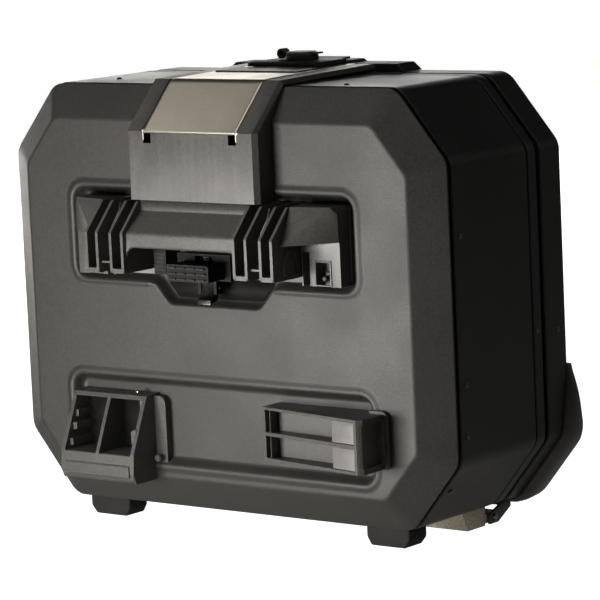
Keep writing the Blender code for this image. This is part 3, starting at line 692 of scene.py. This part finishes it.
for side, word in ((-1, "left"), (1, "right")):
    bm = bmesh.new()
    rings = []
    run = 0.0
    for index, place in enumerate(guard_line):
        along = guard_line[min(index + 1, len(guard_line) - 1)] - guard_line[max(index - 1, 0)]
        outward = Vector((-along.y, along.x)).normalized()
        run += (place - guard_line[max(index - 1, 0)]).length
        share = run / guard_length
        rise = math.sin(math.pi / 2 * min((share + GUARD_TIP) / GUARD_RISE, 1.0)) ** 0.8
        fall = math.sin(math.pi / 2 * min((1.0 + GUARD_TAIL - share) / GUARD_FALL, 1.0))
        swell = GUARD_THICK * rise * fall
        spread = GUARD_SPREAD * min(share / GUARD_WIDEN, 1.0)
        front_y = GUARD_FRONT_Y - spread
        section = [
            (-0.0030, front_y + 0.0010),
            (swell * 0.30, front_y),
            (swell * 0.70, front_y + 0.0016),
            (swell * 0.96, front_y + 0.0022 + spread * 0.25),
            (swell, front_y + 0.0030 + spread * 0.65),
            (swell * 0.80, 0.1690 + spread * 0.75),
            (swell * 0.30, 0.1710 + spread * 0.90),
            (-0.0060 - spread * 0.70, 0.1716 + spread),
            (-0.0080 - spread * 0.80, 0.1700 + spread),
            (-0.0060, front_y + 0.0040),
        ]
        ring = []
        for lift, y in section:
            flat = place + outward * lift
            ring.append(bm.verts.new((side * flat.x, y, flat.y)))
        rings.append(ring)
    for near, far in zip(rings, rings[1:]):
        for a, b, c, d in zip(near, near[1:] + near[:1], far[1:] + far[:1], far):
            bm.faces.new((a, b, c, d))
    bm.faces.new(rings[0])
    bm.faces.new(rings[-1])
    guard = finish_piece(bm, "corner_guard_%s_bumper" % word, satin_plastic, "corner_guard_" + word)
    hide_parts("corner_guard_" + word)

# The bridge cover: a hollow satin moulding over the load bracket, running up the
# panel and back over the top of the case as two rails with a bed between them.
# Its front shows faint upright flow streaks from the mould.
BRIDGE_HALF = 0.0740
RAIL_LOW_Z = 0.154
RAIL_BEVEL = 0.0034
RAIL_MIN_RUN = 0.050
ON_SIDE = 0.0006
bridge_plastic = surface(
    "streaked_bridge_plastic",
    (0.046, 0.044, 0.041),
    (0.140, 0.135, 0.128),
    0.42,
    1300.0,
    0.00016,
    0.10,
    streaks=0.14,
)


def solid_of(node):
    """A node's solid as a bmesh drawn from the seam, with its flats merged."""
    bm = bmesh.new()
    bm.from_mesh(frame["nodes"][node].data)
    bmesh.ops.remove_doubles(bm, verts=bm.verts, dist=MERGE)
    bmesh.ops.dissolve_limit(bm, angle_limit=math.radians(1.0), verts=bm.verts, edges=bm.edges)
    bmesh.ops.translate(bm, vec=-SEAM, verts=bm.verts)
    return bm


bm = solid_of("bridge_cover")
rail_edges = []
for edge in bm.edges:
    ends = [vert.co for vert in edge.verts]
    outer = all(abs(abs(end.x) - BRIDGE_HALF) < ON_SIDE for end in ends)
    raised = all(end.z > RAIL_LOW_Z for end in ends)
    if outer and raised and edge.calc_length() > RAIL_MIN_RUN:
        rail_edges.append(edge)
bmesh.ops.bevel(
    bm, geom=rail_edges, offset=RAIL_BEVEL, segments=1, affect="EDGES", profile=0.5, material=-1
)
bridge = finish_piece(bm, "bridge_cover_moulding", bridge_plastic, "bridge_cover")
round_over(bridge, 0.0013, 4)
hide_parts("bridge_cover")

# The strap plate: a sheet of bead-blasted titanium-coloured aluminium, bent at the
# case's edge. Its long edges are rolled under, its two lower corners hook into slots
# in the bridge cover, and a notch at the rear clears the latch lever.
strap_metal = surface(
    "blasted_titanium",
    (0.60, 0.55, 0.47),
    (0.78, 0.73, 0.65),
    0.34,
    2400.0,
    0.00004,
    0.03,
    mottle=0.03,
    metal=1.0,
)
STRAP_HALF = 0.0537
NOTCH_HALF = 0.0395
NOTCH_Y = 0.0820
SHEET = 0.0012
strap_path = eased(
    [(-0.0496, 0.1532), (-0.0508, 0.1552), (-0.0082, 0.1979), (0.0300, 0.1990), (0.1280, 0.2006)],
    [0.0008, 0.0110, 0.0100],
    steps=5,
    hold=0.0006,
)
strap_path.insert(-1, Vector((NOTCH_Y, 0.1998)))
EDGE_ROLL = 0.0032
ROLL_STEPS = 5
roll = [(STRAP_HALF, -0.0040)]
for step in range(ROLL_STEPS + 1):
    turn = math.pi / 2 * step / ROLL_STEPS
    roll.append((STRAP_HALF - EDGE_ROLL * (1 - math.cos(turn)), EDGE_ROLL * (math.sin(turn) - 1)))
roll.append((STRAP_HALF - EDGE_ROLL - 0.0006, 0.0))
roll.append((NOTCH_HALF, 0.0))
across = [(-x, drop) for x, drop in roll] + roll[::-1]
bm = bmesh.new()
rows = []
for index, place in enumerate(strap_path):
    before = strap_path[max(index - 1, 0)]
    after = strap_path[min(index + 1, len(strap_path) - 1)]
    along = (after - before).normalized()
    lift = Vector((-along.y, along.x))
    rows.append([bm.verts.new((x, *(place + lift * drop))) for x, drop in across])
for row, ahead, place in zip(rows, rows[1:], strap_path):
    for index in range(len(row) - 1):
        middle = index == len(roll) - 1
        if not (middle and place.x >= NOTCH_Y - 0.0001):
            bm.faces.new((row[index], row[index + 1], ahead[index + 1], ahead[index]))
strap = finish_piece(bm, "strap_plate_sheet", strap_metal, "strap_plate", outward=(0, -1, 1))
thicken(strap, SHEET)
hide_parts("strap_plate")


def prism(bm, points, axis, low, high, holes=()):
    """Add a solid: an outline across an axis, with holes through it, from low to high."""
    place = {
        "X": lambda p, depth: (depth, p[0], p[1]),
        "Y": lambda p, depth: (p[0], depth, p[1]),
        "Z": lambda p, depth: (p[0], p[1], depth),
    }[axis]
    edges = []
    for loop in (points, *holes):
        verts = [bm.verts.new(place(p, low)) for p in loop]
        edges += [bm.edges.new(pair) for pair in zip(verts, verts[1:] + verts[:1])]
    flat = bmesh.ops.triangle_fill(bm, edges=edges, use_beauty=True)["geom"]
    faces = [item for item in flat if isinstance(item, bmesh.types.BMFace)]
    moved = bmesh.ops.extrude_face_region(bm, geom=faces, use_keep_orig=True)["geom"]
    verts = [item for item in moved if isinstance(item, bmesh.types.BMVert)]
    step = Vector(place((0.0, 0.0), high)) - Vector(place((0.0, 0.0), low))
    bmesh.ops.translate(bm, vec=step, verts=verts)


bm = bmesh.new()
insert = [(0.0460, 0.1988), (0.0480, 0.2004), (0.0814, 0.2010), (0.0814, 0.1996)]
prism(bm, insert, "X", -0.0462, 0.0462)
bed_cover = round_over(finish_piece(bm, "strap_bed_cover", satin_plastic, "strap_plate"), 0.0003, 2)
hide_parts("strap_plate")
for side, word in ((-1, "left"), (1, "right")):
    bm = bmesh.new()
    hook = [(-0.0500, 0.1550), (-0.0500, 0.1472), (-0.0486, 0.1466), (-0.0470, 0.1490), (-0.0440, 0.1598)]
    prism(bm, hook, "X", side * 0.0522, side * 0.0536)
    tooth = finish_piece(bm, "strap_hook_" + word, strap_metal, "strap_plate")
    round_over(tooth, 0.0003, 2)
    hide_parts("strap_plate")

# The latch: a flat lever in the bridge's bed with a keyed lock and its dust cap,
# all in dull black plastic, and the keeper wedge that it holds on the lid.
dull_plastic = surface(
    "dull_black_plastic", (0.011, 0.011, 0.011), (0.060, 0.058, 0.056), 0.48, 1300.0, 0.00018, 0.10
)
steel = surface(
    "zinc_steel", (0.30, 0.29, 0.28), (0.50, 0.49, 0.48), 0.34, 2600.0, 0.00004, 0.05, metal=1.0
)


def dressed(node, suffix, material, width, segments=3, angle=30.0):
    """A node's own solid with rounded edges and its finish, standing for the node."""
    piece = finish_piece(solid_of(node), node + suffix, material, node)
    round_over(piece, width, segments, angle)
    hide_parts(node)
    return piece


for node in ("latch_lever", "lock_housing"):
    dressed(node, "_moulding", dull_plastic, 0.0005)
bm = bmesh.new()
keeper = [(-0.1020, 0.1930), (0.1020, 0.1930), (0.0930, 0.2004), (0.0400, 0.2004), (0.0370, 0.2029)]
keeper += [(-0.0370, 0.2029), (-0.0400, 0.2004), (-0.0930, 0.2004)]
prism(bm, keeper, "Y", 0.1340, 0.1618)
wedge = finish_piece(bm, "lid_keeper_moulding", dull_plastic, "lid_keeper")
round_over(wedge, 0.0010)
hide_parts("lid_keeper")
dressed("dust_cap", "_moulding", satin_plastic, 0.0005)
for node in ("lock_plug", "latch_lever_pin"):
    dressed(node, "_turned", steel, 0.0002, 2)

# The mounting hardware in the upper field: a moulded carrier with a faceted block
# at each end. An arched liner frames the slot beside each claw, and a square
# window shows the head of the bolt that holds the carrier's end.
HOUSING_PLATE_Y = -0.0195
CLAW_BACK_Y = HOUSING_PLATE_Y - 0.0003


def turned(bm, profile, centre, segments=20):
    """Add a solid turned about a Y axis through x and z, from (radius, y) pairs."""
    x, z = centre
    verts = [bm.verts.new((x + radius, y, z)) for radius, y in profile]
    edges = [bm.edges.new(pair) for pair in zip(verts, verts[1:])]
    turn = {"cent": (x, 0.0, z), "axis": (0, 1, 0), "angle": 2 * math.pi, "steps": segments}
    bmesh.ops.spin(bm, geom=verts + edges, use_merge=True, **turn)
    rim = [vert for vert in bm.verts if vert.is_boundary and abs(vert.co.y - profile[-1][1]) < 1e-6]
    bmesh.ops.contextual_create(bm, geom=rim)


bm = solid_of("mount_housing")
for side in (-1, 1):
    frame_outer = oblong(0.1216, 0.0230, 0.1399, 0.0454)
    frame_inner = oblong(0.1232, 0.0242, 0.1383, 0.0438)
    outer = [(side * x, z) for x, z in frame_outer]
    prism(bm, outer, "Y", -0.0360, -0.0344, [[(side * x, z) for x, z in frame_inner]])
housing = finish_piece(bm, "mount_housing_moulding", satin_plastic, "mount_housing")
round_over(housing, 0.0006)
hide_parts("mount_housing")
for side, word in ((-1, "left"), (1, "right")):
    bm = bmesh.new()
    bracket = oblong(side * 0.1262, 0.0246, side * 0.1354, 0.0342)
    prism(bm, bracket, "Y", -0.0262, -0.0236)
    bolt_head = [(0.0, -0.0345), (0.0016, -0.0345), (0.0026, -0.0336), (0.0026, -0.0262)]
    turned(bm, bolt_head, (side * 0.1308, 0.0294))
    bolt = finish_piece(bm, "side_bolt_%s_head" % word, dull_plastic, "side_bolt_" + word)
    round_over(bolt, 0.0003, 2, 40.0)
    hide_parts("side_bolt_" + word)

# The claws: each is four bent walls joined in pairs at the bottom into loops. A thin
# spring wire stands in the slot between the pairs to stop the bracket rattling.
CLAW_WALLS = (0.0622, 0.0755, 0.0914, 0.1037)
CLAW_WALL = 0.0028
CLAW_PROFILE = [
    (CLAW_BACK_Y, 0.0300),
    (-0.0740, 0.0300),
    (-0.0740, 0.0665),
    (-0.0495, 0.0925),
    (CLAW_BACK_Y, 0.0925),
]


def rounded(corners, radii, steps=4):
    """A closed outline with each corner turned into an arc of its own radius."""
    points = []
    for index, radius in enumerate(radii):
        here = Vector(corners[index])
        if radius == 0.0:
            points.append(here)
            continue
        back = (Vector(corners[index - 1]) - here).normalized()
        ahead = (Vector(corners[(index + 1) % len(corners)]) - here).normalized()
        half = back.angle(ahead) / 2
        reach = radius / math.tan(half)
        centre = here + (back + ahead).normalized() * radius / math.sin(half)
        points += arc_between(centre, here + back * reach, here + ahead * reach, steps)
    return points


for side, word in ((-1, "left"), (1, "right")):
    bm = bmesh.new()
    profile = rounded(CLAW_PROFILE, (0.0, 0.0024, 0.0030, 0.0030, 0.0))
    for near in CLAW_WALLS:
        prism(bm, profile, "X", side * near, side * (near + CLAW_WALL))
    for near, far in ((CLAW_WALLS[0], CLAW_WALLS[1]), (CLAW_WALLS[2], CLAW_WALLS[3])):
        inner = near + CLAW_WALL
        sill = [(inner - 0.001, 0.0302), (far + 0.001, 0.0302), (far + 0.001, 0.0352), (far - 0.0010, 0.0342)]
        sill += [(inner + 0.0010, 0.0342), (inner - 0.001, 0.0352)]
        prism(bm, [(side * x, z) for x, z in sill], "Y", -0.0737, CLAW_BACK_Y)
    arch = [(-0.0400, 0.0325), (-0.0400, 0.0480), (-0.0440, 0.0545), (-0.0560, 0.0545), (-0.0600, 0.0480)]
    arch.append((-0.0600, 0.0325))
    inside = [(y * 0.86 - 0.0070, z * 0.86 + 0.0060) for y, z in arch]
    face = side * (CLAW_WALLS[3] + CLAW_WALL)
    arch = rounded(arch, (0.0, 0.004, 0.004, 0.004, 0.004, 0.0))
    prism(bm, arch, "X", face, face + side * 0.0012, [inside])
    inner = CLAW_WALLS[1] + 0.001
    outer = CLAW_WALLS[2] + 0.001
    web = oblong(side * inner, 0.0310, side * outer, 0.0915)
    prism(bm, web, "Y", HOUSING_PLATE_Y - 0.0040, CLAW_BACK_Y)
    stop = oblong(side * inner, 0.0385, side * outer, 0.0402)
    prism(bm, stop, "Y", -0.0700, -0.0660)
    claw = finish_piece(bm, "claw_%s_moulding" % word, satin_plastic, "claw_" + word)
    round_over(claw, 0.0007, 3, 25.0)
    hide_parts("claw_" + word)
    bm = bmesh.new()
    wire = [(-0.0610, 0.0690), (-0.0500, 0.0815), (-0.0470, 0.0900), (-0.0482, 0.0905)]
    wire += [(-0.0512, 0.0822), (-0.0618, 0.0700)]
    middle = (CLAW_WALLS[1] + CLAW_WALLS[2] + CLAW_WALL) / 2
    prism(bm, wire, "X", side * (middle - 0.0006), side * (middle + 0.0006))
    clip = finish_piece(bm, "claw_spring_" + word, steel, "claw_" + word)
    round_over(clip, 0.0002, 2)
    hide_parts("claw_" + word)

# The grip bar: a bent moulding between the claws, flat where it meets the bridge
# cover and full where the hand wraps it, its lower edge arched down to each claw.
GRIP_HALF = 0.0618
GRIP_ARCH = 0.0080
GRIP_LOW_Z = 0.0530
GRIP_WALL = 0.0030
GRIP_STEPS = 8
grip_path = eased(
    [(-0.0475, 0.0930), (-0.0475, 0.0836), (-0.0694, 0.0662), (-0.0700, 0.0530)],
    [0.0012, 0.0034],
    steps=5,
    hold=0.0005,
)
turns = [math.pi / 2 * step / GRIP_STEPS for step in range(GRIP_STEPS + 1)]
columns = [-GRIP_HALF + GRIP_ARCH * (1 - math.cos(turn)) for turn in turns]
columns += [-0.030, 0.0, 0.030] + [-x for x in columns[::-1]]
bm = bmesh.new()
rows = []
for x in columns:
    over = max(abs(x) - (GRIP_HALF - GRIP_ARCH), 0.0)
    low_z = GRIP_LOW_Z - (GRIP_ARCH - math.sqrt(GRIP_ARCH ** 2 - over ** 2))
    row = [bm.verts.new((x, p.x, p.y)) for p in grip_path[:-1]]
    for y, rise in ((-0.0700, 0.0022), (-0.0696, 0.0008), (-0.0686, 0.0001), (-0.0672, 0.0)):
        row.append(bm.verts.new((x, y, low_z + rise)))
    rows.append(row)
for row, ahead in zip(rows, rows[1:]):
    for index in range(len(row) - 1):
        bm.faces.new((row[index], row[index + 1], ahead[index + 1], ahead[index]))
grip = finish_piece(bm, "grip_bar_moulding", satin_plastic, "grip_bar", outward=(0, -1, 0))
thicken(grip, GRIP_WALL)
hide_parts("grip_bar")
bm = bmesh.new()
shelf = [(-0.0470, 0.0870), (-0.0470, 0.0926), (CLAW_BACK_Y, 0.0926), (CLAW_BACK_Y, 0.0870)]
prism(bm, shelf, "X", -GRIP_HALF, GRIP_HALF)
grip_web = round_over(finish_piece(bm, "grip_bar_web", satin_plastic, "grip_bar"), 0.0005)
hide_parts("grip_bar")

# The release: a slide in a carrier under the grip, its face crossed by rows of
# short ribs for the finger, with its spring, the pawl that it lifts and its pin.
# The slide's own matt black. It also colours the painted shade sheet under the release and the painted shade
# blocks in the left socket's pockets.
slide_and_shade_plastic = surface(
    "matt_slide_and_painted_shade_plastic", (0.004, 0.004, 0.004), (0.12, 0.12, 0.12), 0.60, 1300.0, 0.00018, 0.06, 0.2
)
dressed("release_carrier", "_moulding", slide_and_shade_plastic, 0.0006)
# Painted shade: a near-black sheet on the field floor in the bump-out under the release, standing for the
# shadow that the release casts into the recess.
bm = bmesh.new()
release_shade_outline = [(-0.0470, 0.0004), (0.0470, 0.0004), (0.0620, 0.0180), (0.0620, 0.0230)]
release_shade_outline += [(-0.0620, 0.0230), (-0.0620, 0.0180)]
release_shade_outline = rounded(release_shade_outline, (0.0090, 0.0090, 0.0090, 0.0, 0.0, 0.0090))
prism(bm, release_shade_outline, "Y", UPPER_FLOOR_Y - 0.0004, UPPER_FLOOR_Y + 0.0010)
release_shade_sheet = finish_piece(bm, "release_painted_shade", slide_and_shade_plastic, "inner_panel")
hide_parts("inner_panel")
for side, word in ((-1, "left"), (1, "right")):
    bm = bmesh.new()
    block = oblong(side * 0.0420, 0.0260, side * 0.0560, 0.0480)
    prism(bm, block, "Y", -0.0400, HOUSING_PLATE_Y)
    for rib in range(5):
        z = 0.0300 + rib * 0.0034
        ends = oblong(side * 0.0432, z, side * 0.0548, z + 0.0014)
        prism(bm, ends, "Y", -0.0410, -0.0395)
    stop_block = round_over(finish_piece(bm, "stop_block_" + word, slide_and_shade_plastic, "mount_housing"), 0.0004)
    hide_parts("mount_housing")
bm = bmesh.new()
button_face = oblong(-0.0235, 0.0240, 0.0235, 0.0390)
prism(bm, rounded(button_face, (0.0020, 0.0020, 0.0020, 0.0020)), "Y", -0.0612, -0.0384)
prism(bm, oblong(-0.0090, 0.0252, 0.0090, 0.0330), "Y", -0.0390, -0.0290)
for row, z in enumerate((0.0258, 0.0308, 0.0358)):
    for index in range(4):
        low_x = -0.0218 + index * 0.0110 + (0.0006 if row == 1 else 0.0)
        rib = oblong(low_x, z, low_x + 0.0094, z + 0.0012)
        prism(bm, rib, "Y", -0.0638, -0.0608)
button = finish_piece(bm, "release_button_moulding", slide_and_shade_plastic, "release_button")
round_over(button, 0.0005)
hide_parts("release_button")
black_steel = surface(
    "blackened_steel", (0.030, 0.029, 0.028), (0.20, 0.19, 0.18), 0.42, 1800.0, 0.00006, 0.05, metal=1.0
)
for node in ("mount_pawl", "pawl_pin"):
    dressed(node, "_steel", black_steel, 0.0002, 2, 50.0)
spring = finish_piece(solid_of("release_spring"), "release_spring_coil", steel, "release_spring")
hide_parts("release_spring")
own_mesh(spring)

# The lower sockets: two blocks in the lower field that take the carrier's lugs.
# The left one has two upright pockets behind a sloping face, with a stepped wall
# and a notch inside, and a flanged foot that is screwed to the panel.
SOCKET_BACK_Y = -0.0178
SOCKET_SKIRT_Y = FACE_Y - 0.0003
LEFT_LOW_X = -0.1630
LEFT_HIGH_X = -0.0765
SOCKET_WALL = 0.0040
sloping = [
    (SOCKET_BACK_Y, -0.0860),
    (-0.0360, -0.0870),
    (-0.0580, -0.1375),
    (-0.0595, -0.1560),
    (-0.0560, -0.1645),
    (SOCKET_SKIRT_Y, -0.1645),
    (SOCKET_SKIRT_Y, -0.1480),
    (SOCKET_BACK_Y, -0.1480),
]
sloping = rounded(sloping, (0.0, 0.0040, 0.0040, 0.0030, 0.0040, 0.0, 0.0, 0.0))
middle = (LEFT_LOW_X + LEFT_HIGH_X) / 2
walls = (
    (LEFT_LOW_X, LEFT_LOW_X + SOCKET_WALL),
    (middle - 0.0018, middle + 0.0018),
    (LEFT_HIGH_X - SOCKET_WALL, LEFT_HIGH_X),
)
bm = bmesh.new()
for low_x, high_x in walls:
    prism(bm, sloping, "X", low_x, high_x)
sill = [(SOCKET_BACK_Y, -0.1385), (-0.0578, -0.1385), (-0.0588, -0.1475), (-0.0588, -0.1640)]
sill += [(SOCKET_SKIRT_Y, -0.1640), (SOCKET_SKIRT_Y, -0.1480), (SOCKET_BACK_Y, -0.1480)]
sill = rounded(sill, (0.0, 0.0010, 0.0, 0.0050, 0.0, 0.0, 0.0))
prism(bm, sill, "X", LEFT_LOW_X + 0.001, LEFT_HIGH_X - 0.001)
lintel = [(SOCKET_BACK_Y, -0.0862), (-0.0358, -0.0872), (-0.0374, -0.0908), (SOCKET_BACK_Y, -0.0905)]
prism(bm, lintel, "X", LEFT_LOW_X + 0.001, LEFT_HIGH_X - 0.001)
steps = ((-0.0400, -0.1040, 0.0030), (-0.0450, -0.1150, 0.0044), (-0.0500, -0.1290, 0.0034))
for front_y, low_z, deep in steps:
    inside = LEFT_LOW_X + SOCKET_WALL
    step = [(inside - 0.001, low_z - 0.0070), (inside + deep, low_z - 0.0060), (inside + deep, low_z)]
    prism(bm, step + [(inside - 0.001, low_z)], "Y", front_y, SOCKET_BACK_Y)
inside = LEFT_HIGH_X - SOCKET_WALL
ledge = [(inside + 0.001, -0.1290), (inside - 0.0045, -0.1290)]
ledge += [(inside - 0.0045, -0.1180), (inside + 0.001, -0.1150)]
prism(bm, ledge, "Y", -0.0500, SOCKET_BACK_Y)
prism(bm, oblong(inside - 0.0022, -0.1020, inside + 0.001, -0.0910), "Y", -0.0385, SOCKET_BACK_Y)
lip = [(-0.0586, -0.1470), (-0.0604, -0.1488), (-0.0604, -0.1580), (-0.0586, -0.1600)]
prism(bm, lip, "X", LEFT_LOW_X + 0.0050, LEFT_HIGH_X - 0.0050)
flange = oblong(LEFT_HIGH_X - 0.001, -0.1560, -0.0640, -0.0880)
prism(bm, rounded(flange, (0.0, 0.0070, 0.0070, 0.0)), "Y", FACE_Y + 0.0010, SOCKET_BACK_Y)
turned(bm, [(0.0, -0.0330), (0.0024, -0.0330), (0.0034, -0.0318), (0.0034, -0.0200)], (-0.0705, -0.1440))
socket_left = finish_piece(bm, "socket_left_moulding", satin_plastic, "socket_left")
round_over(socket_left, 0.0008)
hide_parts("socket_left")
# Painted shade: near-black blocks at the back of the left socket's pockets, standing for the shadow that
# fills them.
bm = bmesh.new()
for low_x, high_x in zip([wall[1] for wall in walls], [wall[0] for wall in walls[1:]]):
    back = oblong(low_x - 0.001, -0.1390, high_x + 0.001, -0.0900)
    prism(bm, back, "Y", -0.0212, SOCKET_BACK_Y)
pocket_shade_block = finish_piece(bm, "socket_left_pocket_shade", slide_and_shade_plastic, "socket_left")
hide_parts("socket_left")

# The right one has two flat pockets lined with light grey pads, a screw beside each
# pad, an open channel at its end, and a rounded bracket plate screwed to the panel.
grey_plastic = surface(
    "light_grey_plastic", (0.14, 0.134, 0.127), (0.26, 0.25, 0.24), 0.45, 1300.0, 0.00012, 0.06, mottle=0.05
)
RIGHT_LOW_X = 0.0610
RIGHT_END_X = 0.1850
PAD_END_X = RIGHT_END_X - 0.0080
FRONT_LOW_Y = -0.0415
FRONT_END_Y = -0.0640
leaning = [
    (RIGHT_LOW_X, SOCKET_BACK_Y),
    (0.1680, SOCKET_BACK_Y),
    (0.1680, SOCKET_SKIRT_Y),
    (RIGHT_END_X - 0.0030, SOCKET_SKIRT_Y),
    (RIGHT_END_X - 0.0030, -0.0610),
    (RIGHT_END_X - 0.0050, FRONT_END_Y),
    (RIGHT_LOW_X, FRONT_LOW_Y),
]
bm = bmesh.new()
for low_z, high_z in ((-0.1335, -0.1310), (-0.1112, -0.1080), (-0.0882, -0.0857)):
    prism(bm, leaning, "Z", low_z, high_z)
floor_line = [(RIGHT_LOW_X, SOCKET_BACK_Y), (0.1680, SOCKET_BACK_Y), (0.1680, -0.0300)]
floor_line += [(0.1800, -0.0300), (0.1800, -0.0420), (PAD_END_X, -0.0420)]
floor_line += [(RIGHT_LOW_X + 0.0030, -0.0300), (RIGHT_LOW_X, -0.0300)]
prism(bm, floor_line, "Z", -0.1330, -0.0860)
low_wall = [(RIGHT_LOW_X + 0.0002, -0.0290), (RIGHT_LOW_X + 0.0032, -0.0290)]
low_wall += [(RIGHT_LOW_X + 0.0032, FRONT_LOW_Y - 0.0005), (RIGHT_LOW_X + 0.0002, FRONT_LOW_Y)]
prism(bm, low_wall, "Z", -0.1328, -0.0862)
end_wall = [(PAD_END_X, SOCKET_SKIRT_Y), (0.1818, SOCKET_SKIRT_Y), (0.1818, -0.0612), (0.1800, -0.0638)]
prism(bm, end_wall + [(PAD_END_X, -0.0632)], "Z", -0.1330, -0.0860)
for low_z, high_z in ((-0.1335, -0.1285), (-0.0907, -0.0857)):
    rim = [(0.1810, SOCKET_SKIRT_Y), (RIGHT_END_X, SOCKET_SKIRT_Y), (RIGHT_END_X, -0.0600), (0.1810, -0.0636)]
    prism(bm, rim, "Z", low_z, high_z)
for low_y, high_y in ((-0.0636, -0.0560), (-0.0330, SOCKET_SKIRT_Y)):
    front = RIGHT_END_X if high_y > -0.05 else RIGHT_END_X - 0.0010
    post = [(0.1810, low_y), (front, max(low_y, -0.0606)), (front, high_y), (0.1810, high_y)]
    prism(bm, post, "Z", -0.1330, -0.0860)
for low_z in (-0.1310, -0.1080):
    rib = oblong(0.0690, low_z, 0.0700, low_z + 0.0198)
    prism(bm, rib, "Y", -0.0420, -0.0296)
    boss = [(0.0, -0.0448), (0.0034, -0.0448), (0.0052, -0.0380), (0.0052, -0.0300)]
    turned(bm, boss, (0.1430, low_z + 0.0099))
bracket = oblong(0.1700, -0.1350, 0.1895, -0.0830)
prism(bm, rounded(bracket, (0.0, 0.0070, 0.0070, 0.0)), "Y", -0.0310, -0.0272)
socket_right = finish_piece(bm, "socket_right_moulding", satin_plastic, "socket_right")
round_over(socket_right, 0.0007)
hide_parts("socket_right")
for node in ("socket_pad_upper", "socket_pad_lower"):
    bm = solid_of(node)
    low_z = min(vert.co.z for vert in bm.verts)
    top_z = max(vert.co.z for vert in bm.verts)
    for level in (0.28, 0.72):
        z = low_z + (top_z - low_z) * level
        whole = bm.verts[:] + bm.edges[:] + bm.faces[:]
        bmesh.ops.bisect_plane(bm, geom=whole, plane_co=(0, 0, z), plane_no=(0, 0, 1))
    pad = finish_piece(bm, node + "_block", grey_plastic, node)
    round_over(pad, 0.0006)
    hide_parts(node)
for node in ("socket_screw_top", "pad_screw_upper", "pad_screw_lower"):
    dressed(node, "_steel", steel, 0.0003, 2)

# The feet and the hinges: two tapered rubber feet under the front edge, and two
# bronze brackets under the seam, each pinned to a dark leaf on the lid.
bronze = surface(
    "bronze_anodised", (0.52, 0.46, 0.37), (0.66, 0.60, 0.51), 0.38, 2000.0, 0.00006, 0.10, metal=0.6
)
for side in ("left", "right"):
    dressed("foot_" + side, "_rubber", rubber, 0.0022, 4)
    dressed("hinge_bracket_" + side, "_casting", bronze, 0.0006)
    dressed("hinge_leaf_" + side, "_pressing", satin_plastic, 0.0005)
    dressed("hinge_pin_" + side, "_turned", steel, 0.0003, 2)

# The fasteners: domed blind rivets through the band, more that hold the trim ring
# and the lid's rim, and the plate and screws that back the mount inside the case.
rivet_paint = surface(
    "painted_rivet", (0.075, 0.074, 0.072), (0.30, 0.29, 0.28), 0.36, 1800.0, 0.00004, 0.05
)
BAND_SIDE_X = 0.2450
BAND_TOP_Z = 0.1925
RIVET_DOME = [(0.0, 0.0016), (0.0012, 0.0014), (0.0022, 0.0008), (0.0027, 0.0)]


def rivet(name, body_node, centre, facing):
    """A domed rivet head standing on a surface, on the body of the node it goes through."""
    bm = bmesh.new()
    turned(bm, [(r, -rise) for r, rise in RIVET_DOME], (0.0, 0.0))
    turn = Vector((0, -1, 0)).rotation_difference(Vector(facing)).to_matrix()
    bmesh.ops.rotate(bm, verts=bm.verts, matrix=turn)
    bmesh.ops.translate(bm, verts=bm.verts, vec=centre)
    head = finish_piece(bm, name, rivet_paint, body_node)
    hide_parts(body_node)


SIDE_RIVETS = (("upper", 0.0090, 0.0655), ("middle", 0.0095, -0.0630), ("lower", 0.0090, -0.1080))
for site, y, z in SIDE_RIVETS:
    for side, word in ((-1, "left"), (1, "right")):
        node = "rivet_side_%s_%s" % (site, word)
        rivet(node + "_head", node, (side * 0.2452, y, z), (side, 0, 0))
for side, word in ((-1, "left"), (1, "right")):
    rivet("rivet_trim_" + word, "trim_ring", (side * BAND_SIDE_X, 0.1195, -0.0320), (side, 0, 0))
    rivet("rivet_lid_" + word, "lid_shell", (side * BAND_SIDE_X, 0.1520, -0.0350), (side, 0, 0))
    rivet("rivet_chamfer_" + word, "side_band", (side * 0.2240, 0.0100, -0.1571), (side * 0.772, 0, -0.635))
rivet("rivet_top_left", "side_band", (-0.1530, 0.0376, BAND_TOP_Z), (0, 0, 1))
rivet("rivet_top_right", "side_band", (0.1270, 0.0145, BAND_TOP_Z), (0, 0, 1))
for index, x in enumerate((-0.1250, -0.0450, 0.0400, 0.1200)):
    rivet("rivet_bottom_%d" % index, "side_band", (x, 0.0180, -BAND_TOP_Z), (0, 0, -1))
dressed("backing_plate", "_pressing", steel, 0.0004)
for side in ("left", "right"):
    dressed("backing_screw_" + side, "_head", steel, 0.0004)
